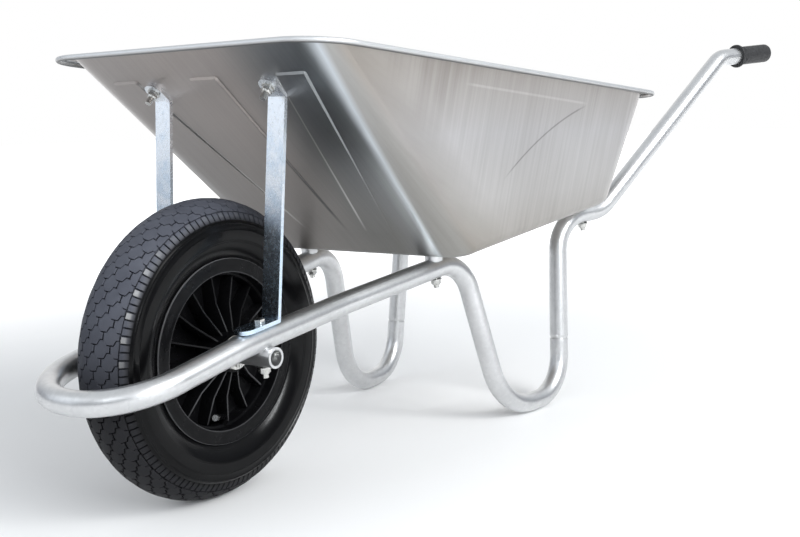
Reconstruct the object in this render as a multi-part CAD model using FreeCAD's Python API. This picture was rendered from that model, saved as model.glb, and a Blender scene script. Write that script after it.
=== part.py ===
import FreeCAD, Part
import math
import os

# Garden and site wheelbarrow: a pressed sheet pan on a bent tube frame, with one
# pneumatic wheel at the front and two plug-in handle tubes at the back.
# Row frame: +X forward (towards the wheel), +Y to the barrow's left, +Z up.
# The origin is the centre of the outline on the ground. Sizes are in millimetres.
# The pieces are first laid out with the axle above x = 0, and moved together at the end.

V = FreeCAD.Vector

# ---------------------------------------------------------------- driving sizes
WHEEL_R = 190.0            # outside radius of the tyre
TYRE_HALF_W = 44.0         # half the tyre's widest width
TYRE_SECTION_H = 43.0      # half the height of the tyre's section
TUBE_R = 15.0              # frame and handle tube, outside
TUBE_WALL = 1.5
BAR_HALF_SPACING = 92.3    # centre line of each side bar beside the wheel
AXLE_R = 13.0              # axle tube, outside
AXLE_WALL = 3.2
AXLE_HALF_LENGTH = 113.5
SADDLE_DEPTH = 6.0         # how deep the axle tube is notched under each bar
NOSE_DIP = 0.0895          # the nose loop drops this much more per millimetre than the bars
NOSE_START_X = 37.0
NOSE_CLEARANCE = 13.3      # between the tyre and the nose loop in front of it
NOSE_HALF_W = 85.0         # the bars close in a little towards the nose
KINK_X = -150.0            # where the bars start to spread
KINK_Z = 229.2             # their height there
LEG_TOP = (-406.5, 124.0, 264.0)      # corner between a bar and its front leg
LEG_FRONT_FOOT = (-480.2, 151.5, 15.0)
LEG_REAR_FOOT = (-638.8, 170.0, 15.0)
LEG_REAR_TOP = (-661.8, 156.1, 302.0)  # corner between a rear leg and its mount
JOINT_HEIGHT = 104.0       # where a handle tube plugs into the front tube
NECK_LENGTH = 22.0         # the plugged-in part of a handle tube
NECK_TAPER = 6.0           # swaged from the full tube down to the neck
FIT_GAP = 0.05             # radial clearance of plug, bearing and bolt fits
# bend radii, from the joint round to the nose: two at the feet, the leg's top, the
# gentle kink of the bar, and the bend down into the nose
FRAME_BEND_R = [68.0, 100.0, 62.0, 400.0, 300.0]
HANDLE_BEND_R = [62.0, 60.0, 42.0]    # leg to mount, mount to handle, handle to grip
HANDLE_SPLAY = 20.0        # degrees, seen from above
MOUNT_RUN = 100.0          # from the rear leg's corner to the handle's corner
MOUNT_RISE = 8.0
REAR_MOUNT_RUN = 56.0      # from the rear leg's corner to the rear mount
FRONT_MOUNT_X = -346.6
SPACER_R = 13.0            # collar between a tube and the pan
SADDLE_WRAP = 3.0          # how far a collar reaches down round its tube
BOLT_SEAT_R = 10.6         # flat spot pressed where a rear pan bolt meets the fold
HANDLE_RUN = 308.0         # to the corner below the grip
HANDLE_RISE = 260.0
GRIP_SPLAY = 22.0
GRIP_RUN = 128.0           # to the end of the grip
GRIP_RISE = 11.0
GRIP_LENGTH = 84.0
GRIP_WALL = 1.6
GRIP_COLLAR_W = 4.4        # how far the collar stands out from the grip
GRIP_COLLAR_L = 5.0
GRIP_END_T = 6.0           # closed end of a grip
GRIP_END_ROUND = 5.0
SHEET = 1.2                # pan sheet
FLOOR_Z = 276.0            # underside of the pan at its front edge
FLOOR_FRONT_X = -313.0
FLOOR_REAR_X = -728.0
FLOOR_RISE = 0.135         # the floor climbs towards the back
FLOOR_FRONT_HALF_W = 190.0
FLOOR_REAR_HALF_W = 240.0
RIM_Z = 561.0              # top of the rim at its front edge
RIM_DROP = 0.0709          # the rim falls towards the back
RIM_FRONT_X = 28.0         # top of the front wall
RIM_REAR_X = -760.0        # top of the rear wall
RIM_FRONT_HALF_W = 215.0
RIM_REAR_HALF_W = 283.0
RIM_FLANGE = 19.0          # width of the turned-out rim
RIM_BEAD_R = 3.6           # rolled edge, outside radius
PAN_FOLD_R = 20.0          # fold between floor and walls
FLOOR_CORNER_R = [42.0, 60.0, 60.0, 42.0]   # front left, rear left, rear right, front right
RIM_CORNER_R = [46.0, 52.0, 52.0, 46.0]
PRESSING_DEPTH = 2.5       # the three stiffening ribs pressed out of the front wall
PRESSING_W = 42.0
PRESSING_FADE = 0.05       # a rib's height where it runs out into the wall
PRESSING_LOW = 60.0        # where a rib fades out, measured up the wall
PRESSING_BELOW_RIM = 54.4  # from a rib's upper end to the rim, down the wall
PRESSING_SPREAD_LOW = 78.0   # the outer two ribs lean apart towards the top
PRESSING_SPREAD_HIGH = 141.0
STAY_W = 26.6
STAY_T = 5.0
STAY_BELOW_RIM = 57.0      # from the rim down to the elbow where a stay meets the wall
STAY_TOP_HALF_SPACING = 98.2
STAY_FOOT_BACK = 22.0      # from the axle back to the elbow over the bar
STAY_FOOT_FRONT = 37.0     # from the axle forward to the tip
STAY_TAB_RUN = 32.0        # from the upper elbow to the tip
BOLT_R = 4.0               # M8 shank
BOLT_HOLE_GAP = 0.25
COACH_HEAD_R = 9.5
COACH_BALL_R = 14.0        # the dome of a coach bolt
HEX_HEAD_H = 5.3
THREAD_SPARE = 4.0         # bolt left standing out of its nut
NUT_AF = 13.0
NUT_H = 7.5
NUT_CHAMFER_R = 7.3        # the corners are turned down to this radius
NUT_COLLAR_H = 1.9         # domed locking collar
NUT_COLLAR_R = (6.1, 5.2)
WASHER_R = 8.5
WASHER_T = 1.6
TILTED_SEAT_GAP = 0.5      # under a tube that runs at an angle to its washer
PIN_R = 1.8                # split pins in the axle tube
PIN_HEAD_R = 3.4
PIN_SPARE = 5.0            # pin left standing out below the axle
PIN_GAP = 0.3              # between a pin's head and the washer beside it
HUB_WASHER_R = 21.0
HUB_WASHER_T = 2.0
END_PLAY = 2.0             # between the wheel's hub and its washers
HUB_HALF_L = 46.0
HUB_R = 25.0
BUSH_R = 17.0              # outside of the nylon bush pressed into the hub
BUSH_L = 26.0
BUSH_LIP_W = 4.0
BUSH_LIP_T = 1.6
BEAD_SEAT_R = 101.0        # where the tyre's bead sits on the wheel centre
FLANGE_R = 116.5
FLANGE_Y = 36.0            # outside face of each flange
FLANGE_T = 3.0
FLANGE_BORE_R = 98.5       # the flange's inner edge
BARREL_BORE_R = 95.0       # inside of the barrel, behind a small ledge
LEDGE_Y = 21.0
WEB_T = 6.0
RIB_COUNT = 16
RIB_T = 3.0
RIB_FIRST_ANGLE = 5.5      # degrees below straight forward
RIB_KNEE_R = 60.0          # each rib's edge bends here
RIB_KNEE_Y = 28.0
RIB_HUB_Y = 38.0
BEAD_GAP = 0.3             # between tyre and wheel centre
TYRE_WALL = 6.0
TREAD_T = 11.0             # crown thickness, blocks included
TREAD_GROOVE_D = 4.0
TREAD_GROOVE_W = 3.0
TREAD_GROOVES_Y = (-24.0, -8.0, 8.0, 24.0)
TUBE_SKIN = 2.0            # inner tube rubber
TUBE_GAP = 2.5             # between the half-filled inner tube and the tyre
VALVE_R = 4.2
VALVE_CAP_L = 8.0
VALVE_X = -3.0             # the stem stands a little behind the lowest point
VALVE_ROOT_Y = 15.0
VALVE_BEND_Y = 19.0
VALVE_BEND_RISE = 9.5      # above the barrel's inside
VALVE_TIP_X = 21.0
VALVE_TIP_Y = 31.0
VALVE_TIP_RISE = 15.0
WELD_IN = 1.0              # how far ribs and web run into the shapes they join

OVERCUT = 5.0              # how far a cutting shape runs past the piece it cuts

axle = V(0, 0, WHEEL_R)
X_AXIS = V(1, 0, 0)
Y_AXIS = V(0, 1, 0)
Z_AXIS = V(0, 0, 1)


# ---------------------------------------------------------------- helpers
def unit(vector):
    result = V(vector)
    result.normalize()
    return result


def mirror_y(shape):
    return shape.mirror(V(0, 0, 0), Y_AXIS)


def fuse_all(shapes):
    whole = shapes[0].fuse(shapes[1:]) if len(shapes) > 1 else shapes[0]
    return whole.removeSplitter()


def group(shapes):
    """Several equal pieces that share one name stay separate solids."""
    return Part.makeCompound(shapes)


def cylinder(start, direction, radius, length):
    return Part.makeCylinder(radius, length, start, direction)


def ring(start, direction, outer_r, inner_r, length):
    return cylinder(start, direction, outer_r, length).cut(
        cylinder(start - direction * OVERCUT, direction, inner_r, length + 2 * OVERCUT))


def disc_face(centre, normal, outer_r, inner_r):
    outer = Part.Face(Part.Wire([Part.makeCircle(outer_r, centre, normal)]))
    if inner_r <= 0:
        return outer
    inner = Part.Face(Part.Wire([Part.makeCircle(inner_r, centre, normal)]))
    return outer.cut(inner).Faces[0]


def bent_path(points, radii, closed=False):
    """Straight runs and tangent arcs through corner points.

    Each item is (start, direction, length) for a straight run, or
    (start, direction, centre, axis, degrees) for an arc."""
    count = len(points)
    corners = range(count) if closed else range(1, count - 1)
    bends = {}
    for i in corners:
        before = unit(points[i] - points[i - 1])
        after = unit(points[(i + 1) % count] - points[i])
        turn = before.getAngle(after)
        tangent = radii[i] * math.tan(turn / 2)
        inward = unit(after - before * before.dot(after))
        start = points[i] - before * tangent
        bends[i] = (start, before, start + inward * radii[i], before.cross(inward),
                    math.degrees(turn), points[i] + after * tangent)
    items = []
    runs = range(count) if closed else range(count - 1)
    for i in runs:
        j = (i + 1) % count
        start = bends[i][5] if i in bends else points[i]
        end = bends[j][0] if j in bends else points[j]
        run = end - start
        if run.Length > 0.01:
            items.append((start, unit(run), run.Length))
        if j in bends:
            items.append(bends[j][:5])
    return items


def tube(points, radii, outer_r, inner_r=0.0, closed=False):
    solids = []
    for item in bent_path(points, radii, closed):
        face = disc_face(item[0], item[1], outer_r, inner_r)
        if len(item) == 3:
            solids.append(face.extrude(item[1] * item[2]))
        else:
            solids.append(face.revolve(item[2], item[3], item[4]))
    return fuse_all(solids)


def outline(points, radii):
    """Closed wire with one straight edge and one arc for each corner."""
    edges = []
    for item in bent_path(points, radii, True):
        if len(item) == 3:
            edges.append(Part.makeLine(item[0], item[0] + item[1] * item[2]))
        else:
            start, _, centre, arc_axis, degrees = item
            spoke = start - centre
            half = FreeCAD.Rotation(arc_axis, degrees / 2).multVec(spoke)
            full = FreeCAD.Rotation(arc_axis, degrees).multVec(spoke)
            edges.append(Part.Arc(start, centre + half, centre + full).toShape())
    return Part.Wire(edges)


def revolved(profile, degrees=360.0):
    """Closed profile of (radius, y) points, turned about the axle."""
    points = [V(r, y, WHEEL_R) for r, y in profile]
    points.append(points[0])
    return Part.Face(Part.makePolygon(points)).revolve(axle, Y_AXIS, degrees)


def hex_prism(start, direction, across_flats, length):
    corner_r = across_flats / 2 / math.cos(math.radians(30))
    side = unit(direction.cross(Y_AXIS if abs(direction.y) < 0.9 else X_AXIS))
    points = []
    for k in range(7):
        spin = FreeCAD.Rotation(direction, 60.0 * k)
        points.append(start + spin.multVec(side) * corner_r)
    return Part.Face(Part.makePolygon(points)).extrude(direction * length)


def hex_nut(start, direction):
    """Locking nut: a hexagon with a domed collar, bored for the bolt."""
    body_h = NUT_H - NUT_COLLAR_H
    body = hex_prism(start, direction, NUT_AF, body_h)
    body = body.common(cylinder(start, direction, NUT_CHAMFER_R, NUT_H))
    collar = Part.makeCone(NUT_COLLAR_R[0], NUT_COLLAR_R[1], NUT_COLLAR_H,
                           start + direction * body_h, direction)
    bore = cylinder(start - direction * OVERCUT, direction, BOLT_R, NUT_H + 2 * OVERCUT)
    return body.fuse(collar).removeSplitter().cut(bore)


def coach_bolt(seat, direction, length):
    """Domed head on the seat and a plain shank running along the direction."""
    sink = math.sqrt(COACH_BALL_R ** 2 - COACH_HEAD_R ** 2)
    ball = Part.makeSphere(COACH_BALL_R, seat + direction * sink)
    keep = cylinder(seat - direction * COACH_HEAD_R, direction, COACH_HEAD_R, COACH_HEAD_R)
    shank = cylinder(seat, direction, BOLT_R, length)
    return ball.common(keep).fuse(shank).removeSplitter()


def hex_bolt(seat, direction, length):
    top = seat - direction * HEX_HEAD_H
    head = hex_prism(top, direction, NUT_AF, HEX_HEAD_H)
    head = head.common(cylinder(top, direction, NUT_CHAMFER_R, HEX_HEAD_H))
    return head.fuse(cylinder(seat, direction, BOLT_R, length)).removeSplitter()


def bolt_hole(start, direction, length):
    return cylinder(start, direction, BOLT_R + BOLT_HOLE_GAP, length)


# ---------------------------------------------------------------- frame centre lines
bar_z_at_axle = WHEEL_R + AXLE_R + TUBE_R - SADDLE_DEPTH
bar_slope = (bar_z_at_axle - KINK_Z) / KINK_X    # drop per millimetre forward


def bar_point(x):
    return V(x, BAR_HALF_SPACING, bar_z_at_axle - bar_slope * x)


nose_start = bar_point(NOSE_START_X)
nose_dir = unit(V(1, 0, -bar_slope - NOSE_DIP))
nose_corner_x = WHEEL_R + NOSE_CLEARANCE + TUBE_R
nose_corner = nose_start + nose_dir * ((nose_corner_x - NOSE_START_X) / nose_dir.x)
nose_corner.y = NOSE_HALF_W
kink = bar_point(KINK_X)
leg_top = V(*LEG_TOP)
foot_front = V(*LEG_FRONT_FOOT)
foot_rear = V(*LEG_REAR_FOOT)
rear_top = V(*LEG_REAR_TOP)
rear_leg_dir = unit(rear_top - foot_rear)
joint = foot_rear + rear_leg_dir * ((JOINT_HEIGHT - foot_rear.z) / rear_leg_dir.z)

left_half = [joint, foot_rear, foot_front, leg_top, kink, nose_start, nose_corner]
half_radii = [0.0] + FRAME_BEND_R + [NOSE_HALF_W]
right_half = [V(p.x, -p.y, p.z) for p in reversed(left_half)]
frame_points = left_half + right_half
frame_radii = half_radii + list(reversed(half_radii))

frame_tube = tube(frame_points, frame_radii, TUBE_R, TUBE_R - TUBE_WALL)

# ---------------------------------------------------------------- handle tubes
splay = math.radians(HANDLE_SPLAY)
back = V(-math.cos(splay), math.sin(splay), 0)
mount_corner = rear_top + back * MOUNT_RUN + Z_AXIS * MOUNT_RISE
grip_corner = mount_corner + back * HANDLE_RUN + Z_AXIS * HANDLE_RISE
grip_splay = math.radians(GRIP_SPLAY)
grip_back = V(-math.cos(grip_splay), math.sin(grip_splay), 0)
handle_end = grip_corner + grip_back * GRIP_RUN + Z_AXIS * GRIP_RISE
grip_dir = unit(handle_end - grip_corner)
tube_end = handle_end - grip_dir * GRIP_END_T

neck_r = TUBE_R - TUBE_WALL - FIT_GAP
body_start = joint + rear_leg_dir * NECK_TAPER
handle_body = tube([body_start, rear_top, mount_corner, grip_corner, tube_end],
                   [0.0] + HANDLE_BEND_R + [0.0], TUBE_R, TUBE_R - TUBE_WALL)
neck_start = joint - rear_leg_dir * NECK_LENGTH
neck = cylinder(neck_start, rear_leg_dir, neck_r, NECK_LENGTH)
taper = Part.makeCone(neck_r, TUBE_R, NECK_TAPER, joint, rear_leg_dir)
neck_bore = cylinder(neck_start - rear_leg_dir * OVERCUT, rear_leg_dir, neck_r - TUBE_WALL,
                     NECK_LENGTH + NECK_TAPER + 2 * OVERCUT)
neck_solid = neck.fuse(taper).cut(neck_bore)
handle_left = handle_body.fuse(neck_solid).removeSplitter()

# ---------------------------------------------------------------- pan
floor_up = unit(V(FLOOR_RISE, 0, 1))
rim_up = unit(V(-RIM_DROP, 0, 1))


def floor_point(x, y, lift=0.0):
    return V(x, y, FLOOR_Z + FLOOR_RISE * (FLOOR_FRONT_X - x)) + floor_up * lift


def rim_point(x, y, lift=0.0):
    return V(x, y, RIM_Z - RIM_DROP * (RIM_FRONT_X - x)) + rim_up * lift


def rim_corners(grow, lift=0.0):
    return [rim_point(RIM_FRONT_X + grow, RIM_FRONT_HALF_W + grow, lift),
            rim_point(RIM_REAR_X - grow, RIM_REAR_HALF_W + grow, lift),
            rim_point(RIM_REAR_X - grow, -RIM_REAR_HALF_W - grow, lift),
            rim_point(RIM_FRONT_X + grow, -RIM_FRONT_HALF_W - grow, lift)]


floor_corners = [floor_point(FLOOR_FRONT_X, FLOOR_FRONT_HALF_W),
                 floor_point(FLOOR_REAR_X, FLOOR_REAR_HALF_W),
                 floor_point(FLOOR_REAR_X, -FLOOR_REAR_HALF_W),
                 floor_point(FLOOR_FRONT_X, -FLOOR_FRONT_HALF_W)]


def tub_solid(floor_outline, rim_outline, fold_r):
    block = Part.makeLoft([floor_outline, rim_outline], True, True)
    lowest = min(block.Faces, key=lambda f: f.CenterOfMass.z)
    return block.makeFillet(fold_r, lowest.Edges)


def wall_inset(lean, lift):
    """How far in, measured level, the inside of a leaning wall is at a height of lift
    above the outside corner. The lean is the wall's run over its rise."""
    return SHEET * math.sqrt(1 + lean ** 2) - lift * lean


front_rise = rim_point(RIM_FRONT_X, 0).z - FLOOR_Z
rear_rise = rim_point(RIM_REAR_X, 0).z - floor_point(FLOOR_REAR_X, 0).z
front_lean = (RIM_FRONT_X - FLOOR_FRONT_X) / front_rise
rear_lean = (FLOOR_REAR_X - RIM_REAR_X) / rear_rise
front_side_lean = (RIM_FRONT_HALF_W - FLOOR_FRONT_HALF_W) / front_rise
rear_side_lean = (RIM_REAR_HALF_W - FLOOR_REAR_HALF_W) / rear_rise


def inner_corners(point, front_x, front_w, rear_x, rear_w, lift):
    front_x -= wall_inset(front_lean, lift)
    rear_x += wall_inset(rear_lean, lift)
    front_w -= wall_inset(front_side_lean, lift)
    rear_w -= wall_inset(rear_side_lean, lift)
    return [point(front_x, front_w, lift), point(rear_x, rear_w, lift),
            point(rear_x, -rear_w, lift), point(front_x, -front_w, lift)]


inner_floor = inner_corners(floor_point, FLOOR_FRONT_X, FLOOR_FRONT_HALF_W,
                            FLOOR_REAR_X, FLOOR_REAR_HALF_W, SHEET)
inner_rim = inner_corners(rim_point, RIM_FRONT_X, RIM_FRONT_HALF_W,
                          RIM_REAR_X, RIM_REAR_HALF_W, 0.0)
tub_outside = tub_solid(outline(floor_corners, FLOOR_CORNER_R),
                        outline(rim_corners(0.0), RIM_CORNER_R), PAN_FOLD_R)
tub_inside = tub_solid(outline(inner_floor, [r - SHEET for r in FLOOR_CORNER_R]),
                       outline(inner_rim, [r - SHEET for r in RIM_CORNER_R]),
                       PAN_FOLD_R - SHEET)
tub = tub_outside.cut(tub_inside)

grown_r = [r + RIM_FLANGE for r in RIM_CORNER_R]
flange_outer = Part.Face(outline(rim_corners(RIM_FLANGE, -SHEET), grown_r))
flange_inner = Part.Face(outline(rim_corners(-SHEET, -SHEET),
                                 [r - SHEET for r in RIM_CORNER_R]))
flange = flange_outer.cut(flange_inner).Faces[0].extrude(rim_up * SHEET)
bead = tube(rim_corners(RIM_FLANGE, -RIM_BEAD_R), grown_r, RIM_BEAD_R, RIM_BEAD_R - SHEET, True)
pan = fuse_all([tub, flange, bead])


wall_length = (rim_point(RIM_FRONT_X, 0) - floor_point(FLOOR_FRONT_X, 0)).Length
pressing_high = wall_length - PRESSING_BELOW_RIM


def wall_point(z):
    """Outside of the front wall in the middle, at height z."""
    low = floor_point(FLOOR_FRONT_X, 0)
    high = rim_point(RIM_FRONT_X, 0)
    return low + (high - low) * ((z - low.z) / (high.z - low.z))


wall_foot = floor_point(FLOOR_FRONT_X, 0)
wall_dir = unit(rim_point(RIM_FRONT_X, 0) - wall_foot)
wall_out = V(wall_dir.z, 0, -wall_dir.x)


def pressing(y_low, y_high):
    """A raised strip on the front wall: full depth at the top, fading out at the foot."""
    sections = []
    for s, depth in ((PRESSING_LOW, PRESSING_FADE), (pressing_high, PRESSING_DEPTH),
                     (pressing_high + PRESSING_DEPTH, PRESSING_FADE)):
        part = (s - PRESSING_LOW) / (pressing_high - PRESSING_LOW)
        middle = wall_foot + wall_dir * s + Y_AXIS * (y_low + (y_high - y_low) * part)
        corners = []
        for across, out in ((-1, -SHEET / 2), (-1, depth), (1, depth), (1, -SHEET / 2)):
            half = PRESSING_W / 2 + (depth + SHEET / 2 if out < 0 else 0)
            corners.append(middle + Y_AXIS * (across * half) + wall_out * out)
        corners.append(corners[0])
        sections.append(Part.makePolygon(corners))
    return Part.makeLoft(sections, True, True)


for y_low, y_high in ((0, 0), (PRESSING_SPREAD_LOW, PRESSING_SPREAD_HIGH),
                      (-PRESSING_SPREAD_LOW, -PRESSING_SPREAD_HIGH)):
    raised = pressing(y_low, y_high)
    hollow = raised.copy()
    hollow.translate(wall_out * -SHEET)
    pan = pan.fuse(raised).cut(hollow)
pan = pan.removeSplitter()

# ---------------------------------------------------------------- pan mounts
mount_bolts = []
mount_washers = []
mount_nuts = []
mount_spacers = []
holes_front = []
holes_rear = []
holes_pan = []
kink_dir = unit(leg_top - kink)
front_seat = kink + kink_dir * ((FRONT_MOUNT_X - kink.x) / kink_dir.x)
mount_dir = unit(mount_corner - rear_top)
rear_seat = rear_top + mount_dir * REAR_MOUNT_RUN
down = floor_up * -1.0
pan_seats = []
for centre, holes in ((front_seat, holes_front), (rear_seat, holes_rear)):
    lift = (wall_foot - centre).dot(floor_up)
    head_seat = centre + floor_up * (lift + SHEET)
    pan_seats.append(head_seat)
    below = centre + down * (TUBE_R + TILTED_SEAT_GAP)
    length = (head_seat - below).Length + WASHER_T + NUT_H + THREAD_SPARE
    mount_bolts.append(coach_bolt(head_seat, down, length))
    mount_washers.append(ring(below, down, WASHER_R, BOLT_R, WASHER_T))
    mount_nuts.append(hex_nut(below + down * WASHER_T, down))
    spacer = ring(centre + floor_up * (TUBE_R - SADDLE_WRAP), floor_up, SPACER_R,
                  BOLT_R + BOLT_HOLE_GAP, lift - TUBE_R + SADDLE_WRAP)
    run_dir = kink_dir if holes is holes_front else mount_dir
    saddle_half = SPACER_R + OVERCUT
    saddle = cylinder(centre - run_dir * saddle_half, run_dir, TUBE_R, 2 * saddle_half)
    mount_spacers.append(spacer.cut(saddle))
    hole_half = TUBE_R + OVERCUT
    holes.append(bolt_hole(centre + floor_up * hole_half, down, 2 * hole_half))
    holes_pan.append(bolt_hole(head_seat + floor_up * SHEET, down, 3 * SHEET))
frame_tube = frame_tube.cut(holes_front + [mirror_y(h) for h in holes_front])
handle_left = handle_left.cut(holes_rear)
# The rear bolts meet the fold behind the floor, so a shallow flat cup is pressed there.
cup_depth = PAN_FOLD_R * 0.5
rear_bolt_seat = pan_seats[1]
cup_room = cylinder(rear_bolt_seat, floor_up, BOLT_SEAT_R, cup_depth)
cup = cylinder(rear_bolt_seat - floor_up * SHEET, floor_up, BOLT_SEAT_R + SHEET, cup_depth)
cup = cup.cut(cup_room).cut(tub_inside)
pan = pan.cut([cup_room, mirror_y(cup_room)]).fuse([cup, mirror_y(cup)])
pan = pan.cut(holes_pan + [mirror_y(h) for h in holes_pan])

# ---------------------------------------------------------------- axle and its bolts
bar_up = unit(V(bar_slope, 0, 1))
bar_dir = unit(V(1, 0, -bar_slope))
axle_left = V(0, BAR_HALF_SPACING, WHEEL_R)
bar_centre = axle_left + bar_up * ((bar_z_at_axle - WHEEL_R) * bar_up.z)
foot_seat = bar_centre + bar_up * (TUBE_R + STAY_T)
axle_under = axle_left - bar_up * AXLE_R
clamp_length = (foot_seat - axle_under).Length
foot_bolt = hex_bolt(foot_seat, bar_up * -1.0,
                     clamp_length + WASHER_T + NUT_H + 1.25 * THREAD_SPARE)
foot_washer = ring(axle_under, bar_up * -1.0, WASHER_R, BOLT_R, WASHER_T)
foot_nut = hex_nut(axle_under - bar_up * WASHER_T, bar_up * -1.0)
foot_hole = bolt_hole(foot_seat + bar_up * OVERCUT, bar_up * -1.0,
                      clamp_length + 2 * OVERCUT)
saddle_half = 2 * AXLE_R + OVERCUT
bar_saddle = cylinder(bar_centre - bar_dir * saddle_half, bar_dir, TUBE_R, 2 * saddle_half)

pin_y = HUB_HALF_L + END_PLAY + HUB_WASHER_T + PIN_HEAD_R + PIN_GAP
axle_tube = ring(V(0, -AXLE_HALF_LENGTH, WHEEL_R), Y_AXIS, AXLE_R, AXLE_R - AXLE_WALL,
                 2 * AXLE_HALF_LENGTH)
axle_cuts = []
split_pins = []
axle_washers = []
for side in (1, -1):
    pin_low = V(0, side * pin_y, WHEEL_R - AXLE_R - PIN_SPARE)
    pin_length = PIN_SPARE + 2 * AXLE_R + PIN_HEAD_R
    axle_cuts.append(cylinder(pin_low, Z_AXIS, PIN_R + 0.1, pin_length + OVERCUT))
    pin_head = Part.makeSphere(PIN_HEAD_R, V(0, side * pin_y, WHEEL_R + AXLE_R + PIN_HEAD_R))
    pin = cylinder(pin_low, Z_AXIS, PIN_R, pin_length)
    split_pins.append(pin.fuse(pin_head).removeSplitter())
    washer_start = V(0, side * (HUB_HALF_L + END_PLAY), WHEEL_R)
    axle_washers.append(ring(washer_start, Y_AXIS * side, HUB_WASHER_R, AXLE_R + 0.1,
                             HUB_WASHER_T))
for cut in (foot_hole, bar_saddle):
    axle_cuts.append(cut)
    axle_cuts.append(mirror_y(cut))
axle_tube = axle_tube.cut(axle_cuts)
frame_tube = frame_tube.cut([foot_hole, mirror_y(foot_hole)])

# ---------------------------------------------------------------- stays
half_strap = STAY_T / 2
over_bar = bar_centre + bar_up * (TUBE_R + half_strap)
foot_corner = over_bar - bar_dir * STAY_FOOT_BACK
foot_tip = over_bar + bar_dir * STAY_FOOT_FRONT
top_elbow = wall_point(RIM_Z - STAY_BELOW_RIM)
top_elbow.y = STAY_TOP_HALF_SPACING
tab_corner = top_elbow + wall_out * half_strap
tab_tip = tab_corner + wall_dir * STAY_TAB_RUN


def bar_strip(start, end, across):
    """One straight length of the flat bar, centred on the line from start to end."""
    along = unit(end - start)
    side = unit(across - along * across.dot(along))
    up = along.cross(side)
    corners = [start + side * (STAY_W / 2) + up * half_strap,
               start - side * (STAY_W / 2) + up * half_strap,
               start - side * (STAY_W / 2) - up * half_strap,
               start + side * (STAY_W / 2) - up * half_strap]
    corners.append(corners[0])
    return Part.Face(Part.makePolygon(corners)).extrude(end - start)


def rounded_tip(start, end, across):
    """Half-round end of a strip, in the strip's own plane."""
    along = unit(end - start)
    side = unit(across - along * across.dot(along))
    up = along.cross(side)
    return cylinder(end - up * half_strap, up, STAY_W / 2, STAY_T)


foot_tip_centre = foot_tip - bar_dir * (STAY_W / 2)
tab_tip_centre = tab_tip - wall_dir * (STAY_W / 2)
elbow_a = cylinder(foot_corner - Y_AXIS * (STAY_W / 2), Y_AXIS, half_strap, STAY_W)
elbow_b = cylinder(tab_corner - Y_AXIS * (STAY_W / 2), Y_AXIS, half_strap, STAY_W)
stay_left = fuse_all([bar_strip(foot_tip_centre, foot_corner, Y_AXIS),
                      rounded_tip(foot_corner, foot_tip_centre, Y_AXIS), elbow_a,
                      bar_strip(foot_corner, tab_corner, Y_AXIS), elbow_b,
                      bar_strip(tab_corner, tab_tip_centre, Y_AXIS),
                      rounded_tip(tab_corner, tab_tip_centre, Y_AXIS)])
stay_left = stay_left.cut(foot_hole)

tab_bolt_at = V(tab_tip_centre.x, STAY_TOP_HALF_SPACING, tab_tip_centre.z)
wall_inner = tab_bolt_at - wall_out * (half_strap + SHEET)
top_hole = bolt_hole(wall_inner - wall_out * OVERCUT, wall_out, 2 * OVERCUT + STAY_T)
stay_left = stay_left.cut(top_hole)
pan = pan.cut([top_hole, mirror_y(top_hole)])
top_bolt = coach_bolt(wall_inner, wall_out,
                      SHEET + STAY_T + WASHER_T + NUT_H + 2.25 * THREAD_SPARE)
tab_face = tab_bolt_at + wall_out * half_strap
top_washer = ring(tab_face, wall_out, WASHER_R, BOLT_R, WASHER_T)
top_nut = hex_nut(tab_face + wall_out * WASHER_T, wall_out)

# ---------------------------------------------------------------- grips
grip_start = handle_end - grip_dir * GRIP_LENGTH
grip_r = TUBE_R + GRIP_WALL
grip = cylinder(grip_start, grip_dir, grip_r, GRIP_LENGTH)
end_edges = [e for e in grip.Edges
             if (e.CenterOfMass - handle_end).Length < 1.0 and len(e.Vertexes) == 1]
grip = grip.makeFillet(GRIP_END_ROUND, end_edges)
collar = cylinder(grip_start, grip_dir, grip_r + GRIP_COLLAR_W, GRIP_COLLAR_L)
grip = grip.fuse(collar).removeSplitter()
grip_left = grip.cut(cylinder(grip_start - grip_dir * OVERCUT, grip_dir, TUBE_R,
                              OVERCUT + GRIP_LENGTH - GRIP_END_T))

# ---------------------------------------------------------------- wheel
section_r = WHEEL_R - TYRE_SECTION_H     # radius of the tyre section's centre
bead_foot_y = FLANGE_Y - FLANGE_T
bead_side_y = bead_foot_y - BEAD_GAP
air_half_w = TYRE_HALF_W - TYRE_WALL     # the space inside the tyre
air_half_h = TYRE_SECTION_H - TREAD_T


def oval(half_w, half_h, degrees):
    angle = math.radians(degrees)
    return (section_r + half_h * math.cos(angle), half_w * math.sin(angle))


def other_side(points):
    """The same outline on the wheel's other side, in reverse order."""
    return [(r, -y) for r, y in reversed(points)]


outer_side = [oval(TYRE_HALF_W, TYRE_SECTION_H, a) for a in range(0, 126, 6)]
inner_side = [oval(air_half_w, air_half_h, a) for a in range(0, 121, 8)]
tyre_bead = [(FLANGE_R + 2 * BEAD_GAP, FLANGE_Y - 1.0), (FLANGE_R + 2 * BEAD_GAP, bead_side_y),
             (BEAD_SEAT_R + BEAD_GAP, bead_side_y), (BEAD_SEAT_R + BEAD_GAP, LEDGE_Y + 1.0)]
ring_points = other_side(outer_side[1:] + tyre_bead) + outer_side + tyre_bead
ring_points += list(reversed(inner_side)) + list(reversed(other_side(inner_side[1:])))
tyre = revolved(ring_points)
groove_cuts = []
for groove_y in TREAD_GROOVES_Y:
    crown = section_r + TYRE_SECTION_H * math.sqrt(1 - (groove_y / TYRE_HALF_W) ** 2)
    low, high = crown - TREAD_GROOVE_D, crown + TREAD_GROOVE_D
    near, far = groove_y - TREAD_GROOVE_W / 2, groove_y + TREAD_GROOVE_W / 2
    groove_cuts.append(revolved([(low, near), (high, near), (high, far), (low, far)]))
tyre = tyre.cut(groove_cuts)

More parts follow.
